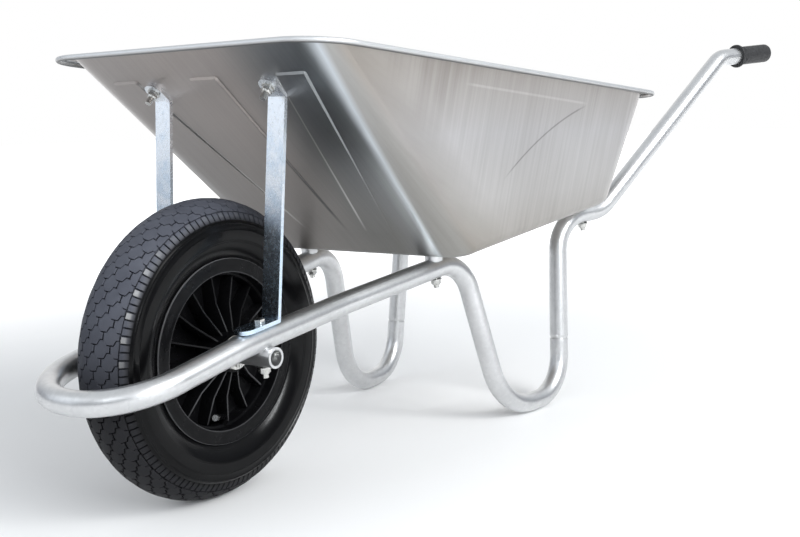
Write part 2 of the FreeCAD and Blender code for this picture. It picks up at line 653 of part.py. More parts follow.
tube_half_w = air_half_w - TUBE_GAP
tube_half_h = air_half_h - TUBE_GAP
tube_outer = [oval(tube_half_w, tube_half_h, a) for a in range(0, 360, 12)]
tube_inner = [oval(tube_half_w - TUBE_SKIN, tube_half_h - TUBE_SKIN, a)
              for a in range(0, 360, 12)]
inner_tube = revolved(tube_outer).cut(revolved(tube_inner))

# One-piece moulded wheel centre: barrel with two flanges, a web and radial ribs.
left_rim = [(BARREL_BORE_R, LEDGE_Y), (FLANGE_BORE_R, LEDGE_Y), (FLANGE_BORE_R, FLANGE_Y),
            (FLANGE_R, FLANGE_Y), (FLANGE_R, bead_foot_y), (BEAD_SEAT_R, bead_foot_y)]
barrel = revolved(left_rim + other_side(left_rim))
web = ring(V(0, -WEB_T / 2, WHEEL_R), Y_AXIS, BARREL_BORE_R + WELD_IN, HUB_R - WELD_IN, WEB_T)
hub = ring(V(0, -HUB_HALF_L, WHEEL_R), Y_AXIS, HUB_R, BUSH_R, 2 * HUB_HALF_L)
ribs = []
rib_side = [(HUB_R - WELD_IN, RIB_HUB_Y), (RIB_KNEE_R, RIB_KNEE_Y),
            (BARREL_BORE_R + WELD_IN, LEDGE_Y)]
rib_outline = [V(r, y, 0) for r, y in rib_side + other_side(rib_side)]
rib_outline.append(rib_outline[0])
for k in range(RIB_COUNT):
    rib = Part.Face(Part.makePolygon(rib_outline)).extrude(Z_AXIS * RIB_T)
    rib.translate(V(0, 0, WHEEL_R - RIB_T / 2))
    rib.rotate(axle, Y_AXIS, k * 360.0 / RIB_COUNT + RIB_FIRST_ANGLE)
    ribs.append(rib)
rim = fuse_all([barrel, web, hub] + ribs)

# The valve comes up through the barrel and leans forward over the ribs beside it.
valve_root = axle + V(VALVE_X, VALVE_ROOT_Y, TUBE_SKIN / 2 - (section_r - tube_half_h))
valve_bend = axle + V(VALVE_X, VALVE_BEND_Y, VALVE_BEND_RISE - BARREL_BORE_R)
valve_tip = axle + V(VALVE_TIP_X, VALVE_TIP_Y, VALVE_TIP_RISE - BARREL_BORE_R)
valve_dir = unit(valve_tip - valve_bend)
stem = tube([valve_root, valve_bend, valve_tip], [0, 2 * VALVE_R, 0], VALVE_R)
root_dir = unit(valve_bend - valve_root)
valve_hole_l = (valve_bend - valve_root).Length
rim = rim.cut(cylinder(valve_root, root_dir, VALVE_R + BOLT_HOLE_GAP, valve_hole_l))
valve_cap = cylinder(valve_tip, valve_dir, VALVE_R - 0.3, VALVE_CAP_L)

bushes = []
for side in (1, -1):
    sleeve = ring(V(0, side * (HUB_HALF_L - BUSH_L), WHEEL_R), Y_AXIS * side, BUSH_R,
                  AXLE_R + FIT_GAP, BUSH_L)
    lip = ring(V(0, side * HUB_HALF_L, WHEEL_R), Y_AXIS * side, BUSH_R + BUSH_LIP_W,
               AXLE_R + FIT_GAP, BUSH_LIP_T)
    bushes.append(sleeve.fuse(lip).removeSplitter())

# ---------------------------------------------------------------- names and export
nodes = {
    "frame_tube": frame_tube,
    "handle_left": handle_left,
    "handle_right": mirror_y(handle_left),
    "grip_left": grip_left,
    "grip_right": mirror_y(grip_left),
    "pan": pan,
    "pan_bolts": group(mount_bolts + [mirror_y(s) for s in mount_bolts]),
    "pan_spacers": group(mount_spacers + [mirror_y(s) for s in mount_spacers]),
    "pan_washers": group(mount_washers + [mirror_y(s) for s in mount_washers]),
    "pan_nuts": group(mount_nuts + [mirror_y(s) for s in mount_nuts]),
    "stay_left": stay_left,
    "stay_right": mirror_y(stay_left),
    "stay_top_bolts": group([top_bolt, mirror_y(top_bolt)]),
    "stay_top_washers": group([top_washer, mirror_y(top_washer)]),
    "stay_top_nuts": group([top_nut, mirror_y(top_nut)]),
    "axle_bolts": group([foot_bolt, mirror_y(foot_bolt)]),
    "axle_bolt_washers": group([foot_washer, mirror_y(foot_washer)]),
    "axle_bolt_nuts": group([foot_nut, mirror_y(foot_nut)]),
    "axle_tube": axle_tube,
    "wheel_washers": group(axle_washers),
    "split_pins": group(split_pins),
    "tyre": tyre,
    "inner_tube": inner_tube,
    "wheel_centre": rim,
    "hub_bushes": group(bushes),
    "valve_stem": stem,
    "valve_cap": valve_cap,
}

front_x = frame_tube.BoundBox.XMax
rear_x = grip_left.BoundBox.XMin
shift = V(-(front_x + rear_x) / 2, 0, 0)
os.makedirs("parts", exist_ok=True)
for name, shape in nodes.items():
    placed = shape.copy()
    placed.translate(shift)
    placed.exportStep("parts/" + name + ".step")
    print(name, "valid", placed.isValid(), "solids", len(placed.Solids),
          "volume %.0f" % placed.Volume)
print("shift", shift)
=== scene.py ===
# %% [markdown]
# # A galvanised wheelbarrow
# The barrow comes in as a fixed frame: every tube, bolt and sheet is already at its true
# place, in metres. +X points forward to the wheel, +Y to the barrow's left and +Z up.
# This lesson gives each piece the look of the real thing. Some pieces only need a finish.
# Others, such as the tyre with its tread, are modelled here and stand in for the plain ones.

# %% Load the frame
import math
import bmesh
import bpy
from mathutils import Matrix, Quaternion, Vector


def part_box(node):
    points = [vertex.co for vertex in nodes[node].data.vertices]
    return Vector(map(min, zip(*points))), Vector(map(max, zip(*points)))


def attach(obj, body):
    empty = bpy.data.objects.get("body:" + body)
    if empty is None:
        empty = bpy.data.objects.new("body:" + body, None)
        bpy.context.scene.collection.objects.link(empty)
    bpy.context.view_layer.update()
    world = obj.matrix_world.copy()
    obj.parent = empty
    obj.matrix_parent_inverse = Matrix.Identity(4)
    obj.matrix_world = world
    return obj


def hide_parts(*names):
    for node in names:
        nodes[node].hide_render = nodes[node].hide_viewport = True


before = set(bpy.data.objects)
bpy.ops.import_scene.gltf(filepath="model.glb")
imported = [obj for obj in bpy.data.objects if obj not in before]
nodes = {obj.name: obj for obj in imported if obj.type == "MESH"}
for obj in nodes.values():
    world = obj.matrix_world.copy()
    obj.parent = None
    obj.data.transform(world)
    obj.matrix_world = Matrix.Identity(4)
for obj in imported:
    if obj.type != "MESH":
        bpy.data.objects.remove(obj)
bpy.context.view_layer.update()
print("pieces in the frame:", len(nodes))

# %% [markdown]
# The wheel turns about the axle, so the axle's middle is the natural place to measure from.
# The camera, the tyre and the wheel centre all take their places from it.

# %% Find the axle
axle_low, axle_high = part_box("axle_tube")
axle = (axle_low + axle_high) / 2
axle.z = (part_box("tyre")[0].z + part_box("tyre")[1].z) / 2
tyre_radius = (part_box("tyre")[1].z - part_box("tyre")[0].z) / 2
print("axle at", [round(v, 4) for v in axle], "tyre radius", round(tyre_radius, 4))

# %% [markdown]
# A picture of a barrow is usually taken from low down in front of one side, so that the
# wheel looms large and the handles run away. The camera stands a little lower than the
# rim of the pan, turned slightly about its own line of sight as a hand-held camera is.

# %% Place the camera
bpy.ops.object.select_all(action="DESELECT")
CAMERA_FROM_AXLE = Vector((0.9531, 0.9668, 0.2768))
LENS = 48.55
heading, tilt, roll = math.radians(-144.95), math.radians(-7.71), math.radians(-1.39)
look = Vector((math.cos(heading) * math.cos(tilt), math.sin(heading) * math.cos(tilt), math.sin(tilt)))
side = look.cross(Vector((0, 0, 1))).normalized()
upright = side.cross(look)
right = side * math.cos(roll) + upright * math.sin(roll)
up = upright * math.cos(roll) - side * math.sin(roll)
turn = Matrix((right, up, -look)).transposed()
bpy.ops.object.camera_add(location=axle + CAMERA_FROM_AXLE, rotation=turn.to_euler())
camera = bpy.context.object
camera.name = "camera"
camera.data.sensor_width = 36.0
camera.data.lens = LENS
camera.data.clip_end = 100.0
bpy.context.scene.camera = camera
print("camera at", [round(v, 3) for v in camera.location])

# %% [markdown]
# The floor is one plain pale sheet. It takes the barrow's soft shadow, and a little of its
# own light, mostly beyond the barrow, keeps it pale in the distance. Metal has to mirror the
# same floor that the camera sees, so the extra light is on for mirrored rays as well.

# %% Lay the floor
bpy.ops.mesh.primitive_plane_add(size=60.0, location=(0, 0, -0.0005))
floor = bpy.context.object
floor.name = "floor"
flat_look = Vector((look.x, look.y, 0)).normalized()


def add_node(tree, kind, **values):
    """A new shader node. Values name its inputs, or its settings where it has no such input."""
    new = tree.nodes.new(kind)
    for name, value in values.items():
        socket = new.inputs.get(name.replace("_", " "))
        if socket is not None and not hasattr(new, name):
            socket.default_value = value
        else:
            setattr(new, name, value)
    return new


def bare_material(name):
    material = bpy.data.materials.new(name)
    material.use_nodes = True
    material.node_tree.nodes.clear()
    return material, material.node_tree


floor_paint, tree = bare_material("floor_paint")
paint = add_node(tree, "ShaderNodeBsdfDiffuse", Color=(0.83, 0.83, 0.83, 1.0))
grain = add_node(tree, "ShaderNodeTexNoise", Scale=3.0, Detail=3.0)
tint = add_node(tree, "ShaderNodeMix", data_type="RGBA")
tint.inputs[6].default_value = (0.82, 0.82, 0.82, 1.0)
tint.inputs[7].default_value = (0.84, 0.84, 0.84, 1.0)
tree.links.new(grain.outputs["Fac"], tint.inputs[0])
tree.links.new(tint.outputs[2], paint.inputs["Color"])
rays = add_node(tree, "ShaderNodeLightPath")
seen = add_node(tree, "ShaderNodeMath", operation="MAXIMUM")
seen_at_all = add_node(tree, "ShaderNodeMath", operation="MAXIMUM")
floor_place = add_node(tree, "ShaderNodeTexCoord")
away = add_node(tree, "ShaderNodeVectorMath", operation="LENGTH")
onward = add_node(tree, "ShaderNodeVectorMath", operation="DOT_PRODUCT")
onward.inputs[1].default_value = flat_look
ahead_share = add_node(tree, "ShaderNodeMath", operation="DIVIDE")
ahead_glow = add_node(tree, "ShaderNodeMapRange", interpolation_type="SMOOTHSTEP")
for name, number in (("From Min", 0.25), ("From Max", 0.75), ("To Min", 0.35), ("To Max", 1.0)):
    ahead_glow.inputs[name].default_value = number
share = add_node(tree, "ShaderNodeMath", operation="MULTIPLY")
far_glow = add_node(tree, "ShaderNodeMapRange", interpolation_type="SMOOTHSTEP")
for name, number in (("From Min", 0.5), ("From Max", 3.2), ("To Min", 0.06), ("To Max", 1.0)):
    far_glow.inputs[name].default_value = number
lift = add_node(tree, "ShaderNodeMath", operation="MULTIPLY")
glow = add_node(tree, "ShaderNodeEmission")
both = add_node(tree, "ShaderNodeAddShader")
out = add_node(tree, "ShaderNodeOutputMaterial")
for source, target in (
        (floor_place.outputs["Object"], away.inputs[0]),
        (away.outputs["Value"], far_glow.inputs["Value"]),
        (rays.outputs["Is Camera Ray"], seen.inputs[0]),
        (rays.outputs["Is Glossy Ray"], seen.inputs[1]),
        (seen.outputs[0], seen_at_all.inputs[0]),
        (rays.outputs["Is Transmission Ray"], seen_at_all.inputs[1]),
        (seen_at_all.outputs[0], lift.inputs[0]),
        (floor_place.outputs["Object"], onward.inputs[0]),
        (onward.outputs["Value"], ahead_share.inputs[0]),
        (away.outputs["Value"], ahead_share.inputs[1]),
        (ahead_share.outputs[0], ahead_glow.inputs["Value"]),
        (far_glow.outputs["Result"], share.inputs[0]),
        (ahead_glow.outputs["Result"], share.inputs[1]),
        (share.outputs[0], lift.inputs[1]),
        (lift.outputs[0], glow.inputs["Strength"]),
        (paint.outputs[0], both.inputs[0]),
        (glow.outputs[0], both.inputs[1]),
        (both.outputs[0], out.inputs["Surface"])):
    tree.links.new(source, target)
floor.data.materials.append(floor_paint)
print("floor laid")

# %% [markdown]
# Bent tube only looks like metal when it has something to mirror. The room is therefore
# bright overhead, pale ahead of the camera and darker low down elsewhere, which puts the
# long light and dark bands on the tubes that a real yard or studio would.

# %% Light the room
world = bpy.data.worlds.new("room")
bpy.context.scene.world = world
world.use_nodes = True
tree = world.node_tree
tree.nodes.clear()
direction = add_node(tree, "ShaderNodeTexCoord")
height = add_node(tree, "ShaderNodeSeparateXYZ")
ahead = add_node(tree, "ShaderNodeVectorMath", operation="DOT_PRODUCT")
ahead.inputs[1].default_value = flat_look
ceiling = add_node(tree, "ShaderNodeValToRGB")
ceiling.color_ramp.elements[0].position = 0.02
ceiling.color_ramp.elements[0].color = (0.12, 0.13, 0.15, 1)
ceiling.color_ramp.elements[1].position = 0.60
ceiling.color_ramp.elements[1].color = (0.74, 0.77, 0.80, 1)
middle = ceiling.color_ramp.elements.new(0.22)
middle.color = (0.34, 0.36, 0.40, 1)
screen = add_node(tree, "ShaderNodeMapRange", interpolation_type="SMOOTHSTEP")
screen.inputs["From Min"].default_value = 0.55
screen.inputs["From Max"].default_value = 0.85
room = add_node(tree, "ShaderNodeMix", data_type="RGBA")
room.inputs[7].default_value = (1.0, 1.0, 1.0, 1.0)
light = add_node(tree, "ShaderNodeBackground", Strength=1.0)
out = add_node(tree, "ShaderNodeOutputWorld")
for source, target in (
        (direction.outputs["Generated"], height.inputs[0]),
        (direction.outputs["Generated"], ahead.inputs[0]),
        (height.outputs["Z"], ceiling.inputs["Fac"]),
        (ahead.outputs["Value"], screen.inputs["Value"]),
        (screen.outputs["Result"], room.inputs[0]),
        (ceiling.outputs["Color"], room.inputs[6]),
        (room.outputs[2], light.inputs["Color"]),
        (light.outputs[0], out.inputs["Surface"])):
    tree.links.new(source, target)


def soft_lamp(name, place, aim, size, power, colour=(1, 1, 1), lean=0.0):
    """A flat lamp at a place, facing a point, leaning to one side by an angle in degrees."""
    facing = (Vector(aim) - Vector(place)).to_track_quat("-Z", "Y")
    facing = facing @ Quaternion((0, 0, 1), math.radians(lean))
    bpy.ops.object.light_add(type="AREA", location=place, rotation=facing.to_euler())
    lamp = bpy.context.object
    lamp.name = name
    lamp.data.shape = "RECTANGLE"
    lamp.data.size, lamp.data.size_y = size
    lamp.data.energy = power
    lamp.data.color = colour
    return lamp


middle_of_barrow = Vector((0, 0, 0.35))
soft_lamp("key_light", (0.4, 3.2, 3.0), middle_of_barrow, (1.9, 1.9), 50, (1.0, 0.985, 0.96))
soft_lamp("strip_light", (0.78, 2.65, 1.5), (0.46, 0.05, 0.2), (2.3, 0.25), 70, (0.95, 0.98, 1.0), 23)
soft_lamp("front_light", (3.4, 0.9, 2.0), middle_of_barrow, (1.4, 1.4), 10, (0.93, 0.97, 1.0))
soft_lamp("window_light", (3.0, -2.3, 1.75), middle_of_barrow, (2.4, 2.4), 15, (0.88, 0.94, 1.0))
view = bpy.context.scene.view_settings
view.view_transform = "Standard"

# %% [markdown]
# Every finish is a few nodes that read a point's own place on the barrow. These helpers make
# the usual ones: the shader, clouds, small cells, ranges, colour ramps, sums and fine relief.

# %% Helpers for the finishes
def finish(name, metal, rough, **settings):
    """A principled material. Returns it with its tree, its shader and the space of its patterns."""
    material, tree = bare_material(name)
    shader = add_node(tree, "ShaderNodeBsdfPrincipled")
    shader.inputs["Metallic"].default_value = metal
    shader.inputs["Roughness"].default_value = rough
    for socket, value in settings.items():
        shader.inputs[socket.replace("_", " ")].default_value = value
    out = add_node(tree, "ShaderNodeOutputMaterial")
    place = add_node(tree, "ShaderNodeTexCoord")
    tree.links.new(shader.outputs[0], out.inputs["Surface"])
    return material, tree, shader, place.outputs["Object"]


def stretched(tree, where, scale):
    """Pattern space, squeezed along chosen directions."""
    mapping = add_node(tree, "ShaderNodeMapping")
    mapping.inputs["Scale"].default_value = scale
    tree.links.new(where, mapping.inputs["Vector"])
    return mapping.outputs[0]


def noise(tree, where, scale, detail=4.0, rough=0.55):
    cloud = add_node(tree, "ShaderNodeTexNoise", Scale=scale, Detail=detail, Roughness=rough)
    tree.links.new(where, cloud.inputs["Vector"])
    return cloud.outputs["Fac"]


def cells(tree, where, scale):
    crystal = add_node(tree, "ShaderNodeTexVoronoi", Scale=scale)
    tree.links.new(where, crystal.inputs["Vector"])
    grey = add_node(tree, "ShaderNodeSeparateColor")
    tree.links.new(crystal.outputs["Color"], grey.inputs[0])
    return grey.outputs[0]


def remap(tree, value, low, high, to_low, to_high):
    span = add_node(tree, "ShaderNodeMapRange")
    for name, number in (("From Min", low), ("From Max", high), ("To Min", to_low), ("To Max", to_high)):
        span.inputs[name].default_value = number
    tree.links.new(value, span.inputs["Value"])
    return span.outputs[0]


def tones(tree, value, *stops):
    """Colour ramp from (position, colour) stops."""
    ramp = add_node(tree, "ShaderNodeValToRGB")
    elements = ramp.color_ramp.elements
    while len(elements) < len(stops):
        elements.new(0.5)
    for element, (position, colour) in zip(elements, stops):
        element.position = position
        element.color = (*colour, 1.0)
    tree.links.new(value, ramp.inputs["Fac"])
    return ramp.outputs["Color"]


def blend_colour(tree, kind, amount, first, second):
    mixer = add_node(tree, "ShaderNodeMix", data_type="RGBA", blend_type=kind)
    for socket, value in zip((mixer.inputs[0], mixer.inputs[6], mixer.inputs[7]), (amount, first, second)):
        if isinstance(value, bpy.types.NodeSocket):
            tree.links.new(value, socket)
        else:
            socket.default_value = value
    return mixer.outputs[2]


def maths(tree, kind, first, second=0.0):
    sum_node = add_node(tree, "ShaderNodeMath", operation=kind)
    for socket, value in zip(sum_node.inputs, (first, second)):
        if isinstance(value, bpy.types.NodeSocket):
            tree.links.new(value, socket)
        else:
            socket.default_value = value
    return sum_node.outputs[0]


def dents(tree, shader, value, distance, strength):
    """Fine relief from a pattern, at most a distance in metres high."""
    bump = add_node(tree, "ShaderNodeBump", Strength=strength, Distance=distance)
    tree.links.new(value, bump.inputs["Height"])
    tree.links.new(bump.outputs[0], shader.inputs["Normal"])


def dress(finish_material, *names):
    for name in names:
        for slot in nodes[name].material_slots:
            slot.material = finish_material


print("finish helpers ready")

# %% [markdown]
# Hot-dip zinc on tube is bright but never even: crystals catch the light each in their own
# way, the surface runs in slow waves, and it is duller in places.

# %% Galvanised tube
tube_zinc, tree, shader, where = finish("tube_zinc", 1.0, 0.3)
crystals = cells(tree, where, 210.0)
clouds = noise(tree, where, 18.0, 3.0)
base = tones(tree, crystals, (0.0, (0.66, 0.665, 0.67)), (1.0, (0.71, 0.715, 0.72)))
stain = tones(tree, clouds, (0.30, (0.88, 0.88, 0.885)), (0.62, (1.0, 1.0, 1.0)))
tree.links.new(blend_colour(tree, "MULTIPLY", 0.7, base, stain), shader.inputs["Base Color"])
tree.links.new(remap(tree, clouds, 0.3, 0.7, 0.40, 0.33), shader.inputs["Roughness"])
dents(tree, shader, noise(tree, where, 45.0, 2.0), 0.0002, 0.15)
dress(tube_zinc, "frame_tube", "handle_left", "handle_right", "axle_tube", "pan_spacers")
print("tube finish on", tube_zinc.name)

# %% [markdown]
# The pan is drawn from one sheet. Its zinc is satin and even, with fine lines that run up
# the walls the way the press dragged it. The front wall's colour is painted darker, a painted
# reflection of the shaded floor under the barrow: darker low down, and on the left half
# darkest in a band some way in from the corner, with a painted highlight along the corner
# line. The finish finds that wall by how far a point lies from the wall's own plane.

# %% Galvanised sheet
FRONT_WALL_FOOT = axle + Vector((-0.313, 0, 0.086))
FRONT_WALL_OUT = Vector((285, 0, -341)).normalized()
FRONT_WALL_UP = Vector((341, 0, 285)).normalized()
CORNER_HALF_W = 0.148       # half width of the front wall's flat at its foot
CORNER_SPREAD = 0.193       # how much that grows with height
sheet_zinc, tree, shader, where = finish("sheet_zinc", 1.0, 0.34)


def measured(tree, where, origin, direction):
    """How far a point lies from an origin along a direction."""
    offset = add_node(tree, "ShaderNodeVectorMath", operation="SUBTRACT")
    offset.inputs[1].default_value = origin
    along = add_node(tree, "ShaderNodeVectorMath", operation="DOT_PRODUCT")
    along.inputs[1].default_value = direction
    tree.links.new(where, offset.inputs[0])
    tree.links.new(offset.outputs[0], along.inputs[0])
    return along.outputs["Value"]


from_front = maths(tree, "ABSOLUTE", measured(tree, where, FRONT_WALL_FOOT, FRONT_WALL_OUT))
on_front = remap(tree, from_front, 0.012, 0.022, 1.0, 0.0)
leftward = measured(tree, where, (0, 0, 0), (0, 1, 0))
up_the_wall = measured(tree, where, FRONT_WALL_FOOT, (0, 0, 1))
corner_line = maths(tree, "ADD", maths(tree, "MULTIPLY", up_the_wall, CORNER_SPREAD), CORNER_HALF_W)
past_corner = maths(tree, "SUBTRACT", maths(tree, "ABSOLUTE", leftward), corner_line)
to_corner = remap(tree, past_corner, -0.160, 0.015, 0.0, 1.0)
# Painted reflection of the shaded floor: a dark band in from the corner, with a painted highlight (the
# light stop) along the corner line. Lower down the tones are darker, which is painted shade.
upper_painted_shading = tones(tree, to_corner, (0.05, (0.395, 0.355, 0.335)), (0.34, (0.29, 0.283, 0.277)),
                  (0.55, (0.265, 0.273, 0.282)), (0.75, (0.305, 0.32, 0.33)), (0.85, (0.38, 0.40, 0.41)),
                  (0.915, (0.70, 0.74, 0.78)), (0.955, (0.42, 0.41, 0.40)), (1.0, (0.38, 0.37, 0.355)))
lower_painted_shading = tones(tree, to_corner, (0.60, (0.185, 0.18, 0.17)), (0.76, (0.24, 0.24, 0.235)),
                 (0.86, (0.42, 0.43, 0.43)), (0.915, (0.70, 0.74, 0.76)), (0.955, (0.36, 0.355, 0.34)),
                 (1.0, (0.36, 0.35, 0.33)))
lowness = remap(tree, up_the_wall, 0.035, 0.19, 1.0, 0.0)
front_painted_shading = blend_colour(tree, "MIX", lowness, upper_painted_shading, lower_painted_shading)
# Painted shade on the right half of the wall: darker towards its foot.
even_painted_shading = blend_colour(tree, "MIX", remap(tree, up_the_wall, 0.0, 0.20, 0.0, 1.0),
                         (0.27, 0.25, 0.235, 1.0), (0.40, 0.36, 0.34, 1.0))
left_share = remap(tree, leftward, -0.06, 0.06, 0.2, 1.0)
front_painted_shading = blend_colour(tree, "MIX", left_share, even_painted_shading, front_painted_shading)

# %% [markdown]
# Three ribs are pressed into the front wall. A painted highlight runs along the inner edges
# of the two outer ones, and these edges spread apart as they climb. A painted shade line
# runs along one edge of the middle one.

# %% Edges of the pressed ribs
RIB_RUN = (0.060, 0.390)    # a pressed rib's ends, measured up the slope of the wall
RIB_EDGE_FOOT = 0.055       # an outer rib's inner edge, from the middle of the wall
RIB_EDGE_SPREAD = 0.063     # how much further out that edge is at the rib's top
MIDDLE_EDGE = (0.0205, 0.0228)  # the middle rib's edge, from low down to its top
EDGE_HIGHLIGHT_TONE = (0.60, 0.585, 0.57, 1.0)
EDGE_SHADE_TONE = (0.07, 0.07, 0.072, 1.0)
slope = measured(tree, where, FRONT_WALL_FOOT, FRONT_WALL_UP)
along_rib = remap(tree, slope, *RIB_RUN, 0.0, 1.0)
rib_fade = maths(tree, "MULTIPLY", remap(tree, slope, RIB_RUN[0], 0.110, 0.0, 1.0),
                 remap(tree, slope, 0.383, 0.388, 1.0, 0.0))
inner_edge = maths(tree, "ADD", maths(tree, "MULTIPLY", along_rib, RIB_EDGE_SPREAD), RIB_EDGE_FOOT)
off_inner = maths(tree, "ABSOLUTE", maths(tree, "SUBTRACT", maths(tree, "ABSOLUTE", leftward), inner_edge))
# Painted highlight along the inner edges of the outer ribs.
edge_highlight = maths(tree, "MULTIPLY", remap(tree, off_inner, 0.0008, 0.0026, 0.85, 0.0), rib_fade)
middle_edge = remap(tree, slope, 0.22, 0.38, *MIDDLE_EDGE)
off_middle = maths(tree, "ABSOLUTE", maths(tree, "SUBTRACT", leftward, middle_edge))
# Painted shade line along the middle rib's edge.
edge_shade_strength = maths(tree, "MULTIPLY", remap(tree, slope, 0.20, 0.30, 0.75, 0.30), rib_fade)
edge_shade = maths(tree, "MULTIPLY", remap(tree, off_middle, 0.0014, 0.0032, 1.0, 0.0), edge_shade_strength)
front_painted_shading = blend_colour(tree, "MIX", edge_highlight, front_painted_shading, EDGE_HIGHLIGHT_TONE)
front_painted_shading = blend_colour(tree, "MIX", edge_shade, front_painted_shading, EDGE_SHADE_TONE)
print("rib edges drawn:", RIB_RUN)

# %% [markdown]
# The other walls are paler, with a little shade near the front corners and in bands. Noise
# squeezed across a wall gives drawing lines that run up it, and streaks that come in patches.

# %% Finish of the side walls
side_wall = remap(tree, maths(tree, "ABSOLUTE", leftward), 0.17, 0.20, 0.0, 1.0)
on_side = maths(tree, "MULTIPLY", remap(tree, from_front, 0.04, 0.10, 0.0, 1.0), side_wall)
clouds = noise(tree, where, 5.0, 2.0)
side_tone = tones(tree, clouds, (0.3, (0.445, 0.435, 0.43)), (0.7, (0.495, 0.49, 0.487)))
shaded = tones(tree, remap(tree, from_front, 0.02, 0.16, 0.0, 1.0),
               (0.0, (0.80, 0.78, 0.75)), (0.45, (1.06, 1.06, 1.06)), (1.0, (1.0, 1.0, 1.0)))
banded = tones(tree, remap(tree, up_the_wall, 0.0, 0.28, 0.0, 1.0),
               (0.0, (0.86, 0.82, 0.76)), (0.30, (1.0, 0.99, 0.98)),
               (0.62, (1.0, 1.0, 1.02)), (0.92, (0.88, 0.84, 0.80)))
side_tone = blend_colour(tree, "MULTIPLY", 1.0, side_tone, shaded)
side_tone = blend_colour(tree, "MULTIPLY", 1.0, side_tone, banded)
side_lines = noise(tree, stretched(tree, where, (170.0, 8.0, 3.0)), 1.0, 5.0, 0.65)
front_lines = noise(tree, stretched(tree, where, (8.0, 260.0, 3.0)), 1.0, 5.0, 0.6)
streaks = noise(tree, stretched(tree, where, (55.0, 3.0, 1.2)), 1.0, 3.0, 0.6)
streak_zone = noise(tree, where, 3.2, 1.0)
drawn_side = tones(tree, side_lines, (0.36, (0.87, 0.865, 0.86)), (0.60, (1.0, 1.0, 1.0)))
drawn_front = tones(tree, front_lines, (0.36, (0.93, 0.93, 0.93)), (0.60, (1.0, 1.0, 1.0)))
streaked = tones(tree, streaks, (0.40, (0.80, 0.79, 0.78)), (0.55, (1.0, 1.0, 1.0)))
streak_share = maths(tree, "MULTIPLY", remap(tree, streak_zone, 0.42, 0.60, 0.0, 0.9), on_side)
side_tone = blend_colour(tree, "MULTIPLY", streak_share, side_tone, streaked)
print("walls toned, streaks and drawing lines in")

# %% [markdown]
# Handling leaves its own marks. Something hard was dragged round the left wall and left a
# thin grey arc. Just above it runs a stiffening bead from the press, drawn only as a painted
# highlight: a faint light line.

# %% Marks on the left wall
ARC_MIDDLE = axle + Vector((-0.6725, 0, -0.1309))
ARC_R = 0.4413
ARC_RUN = (-0.545, -0.385)  # where the arc shows, forward of the axle
BEAD_START = axle + Vector((-0.405, 0, 0.311))
BEAD_ACROSS = Vector((-0.085, 0, 0.9964))
BEAD_RUN = (-0.55, -0.26)
arc_offset = add_node(tree, "ShaderNodeVectorMath", operation="SUBTRACT")
arc_offset.inputs[1].default_value = ARC_MIDDLE
arc_flat = add_node(tree, "ShaderNodeVectorMath", operation="MULTIPLY")
arc_flat.inputs[1].default_value = (1.0, 0.0, 1.0)
arc_reach = add_node(tree, "ShaderNodeVectorMath", operation="LENGTH")
tree.links.new(where, arc_offset.inputs[0])
tree.links.new(arc_offset.outputs[0], arc_flat.inputs[0])
tree.links.new(arc_flat.outputs[0], arc_reach.inputs[0])
off_arc = maths(tree, "ABSOLUTE", maths(tree, "SUBTRACT", arc_reach.outputs["Value"], ARC_R))
forward = measured(tree, where, axle, (1, 0, 0))
on_left = remap(tree, leftward, 0.19, 0.20, 0.0, 1.0)


def between(value, low, high, soft):
    """One inside a range, falling softly to nothing outside it."""
    rising = remap(tree, value, low - soft, low + soft, 0.0, 1.0)
    falling = remap(tree, value, high - soft, high + soft, 1.0, 0.0)
    return maths(tree, "MULTIPLY", maths(tree, "MULTIPLY", rising, falling), on_left)


scuff = remap(tree, off_arc, 0.0006, 0.0020, 0.6, 0.0)
scuff = maths(tree, "MULTIPLY", scuff, between(forward, *ARC_RUN, 0.012))
off_bead = maths(tree, "ABSOLUTE", measured(tree, where, BEAD_START, BEAD_ACROSS))
# Painted highlight of the bead: a faint light line.
bead_highlight = remap(tree, off_bead, 0.0008, 0.0022, 0.32, 0.0)
bead_highlight = maths(tree, "MULTIPLY", bead_highlight, between(forward, *BEAD_RUN, 0.01))
side_tone = blend_colour(tree, "MIX", scuff, side_tone, (0.16, 0.155, 0.15, 1.0))
side_tone = blend_colour(tree, "MIX", bead_highlight, side_tone, (0.66, 0.65, 0.64, 1.0))
print("arc of radius", ARC_R, "and bead drawn on the left wall")

# %% [markdown]
# The rolled rim is painted brighter than the walls over its top, a painted highlight, and
# darker on the lower part of the roll, a painted shade line. In plan it narrows towards the
# front and has round corners. A point is on the roll when it lies about a centimetre more
# than the corners' radius outside the lines that join the corners' middles.

# %% Join the walls' finishes
drawn = blend_colour(tree, "MIX", on_side, drawn_front, drawn_side)
base = blend_colour(tree, "MIX", on_front, side_tone, front_painted_shading)
walls = blend_colour(tree, "MULTIPLY", 0.8, base, drawn)
RIM_TOP = axle + Vector((0.0375, 0, 0.371674))
RIM_DOWN = (0.0707, 0, -0.9975)
RIM_MIDDLE_BACK = 0.366     # the rim's middle, behind the axle
RIM_HALF_L, RIM_CORNER_R = 0.394, 0.046
RIM_HALF_W = 0.2174         # half the rim's width, beside the axle
RIM_TAPER = 0.0863          # how much that shrinks with distance forward
ROLL_DEPTH = 0.0073
below_rim = measured(tree, where, RIM_TOP, RIM_DOWN)
to_rim_middle = maths(tree, "ABSOLUTE", maths(tree, "ADD", forward, RIM_MIDDLE_BACK))
past_end = maths(tree, "MAXIMUM", maths(tree, "SUBTRACT", to_rim_middle, RIM_HALF_L - RIM_CORNER_R), 0.0)
rim_half_w = maths(tree, "SUBTRACT", RIM_HALF_W - RIM_CORNER_R, maths(tree, "MULTIPLY", forward, RIM_TAPER))
past_side = maths(tree, "SUBTRACT", maths(tree, "ABSOLUTE", leftward), rim_half_w)
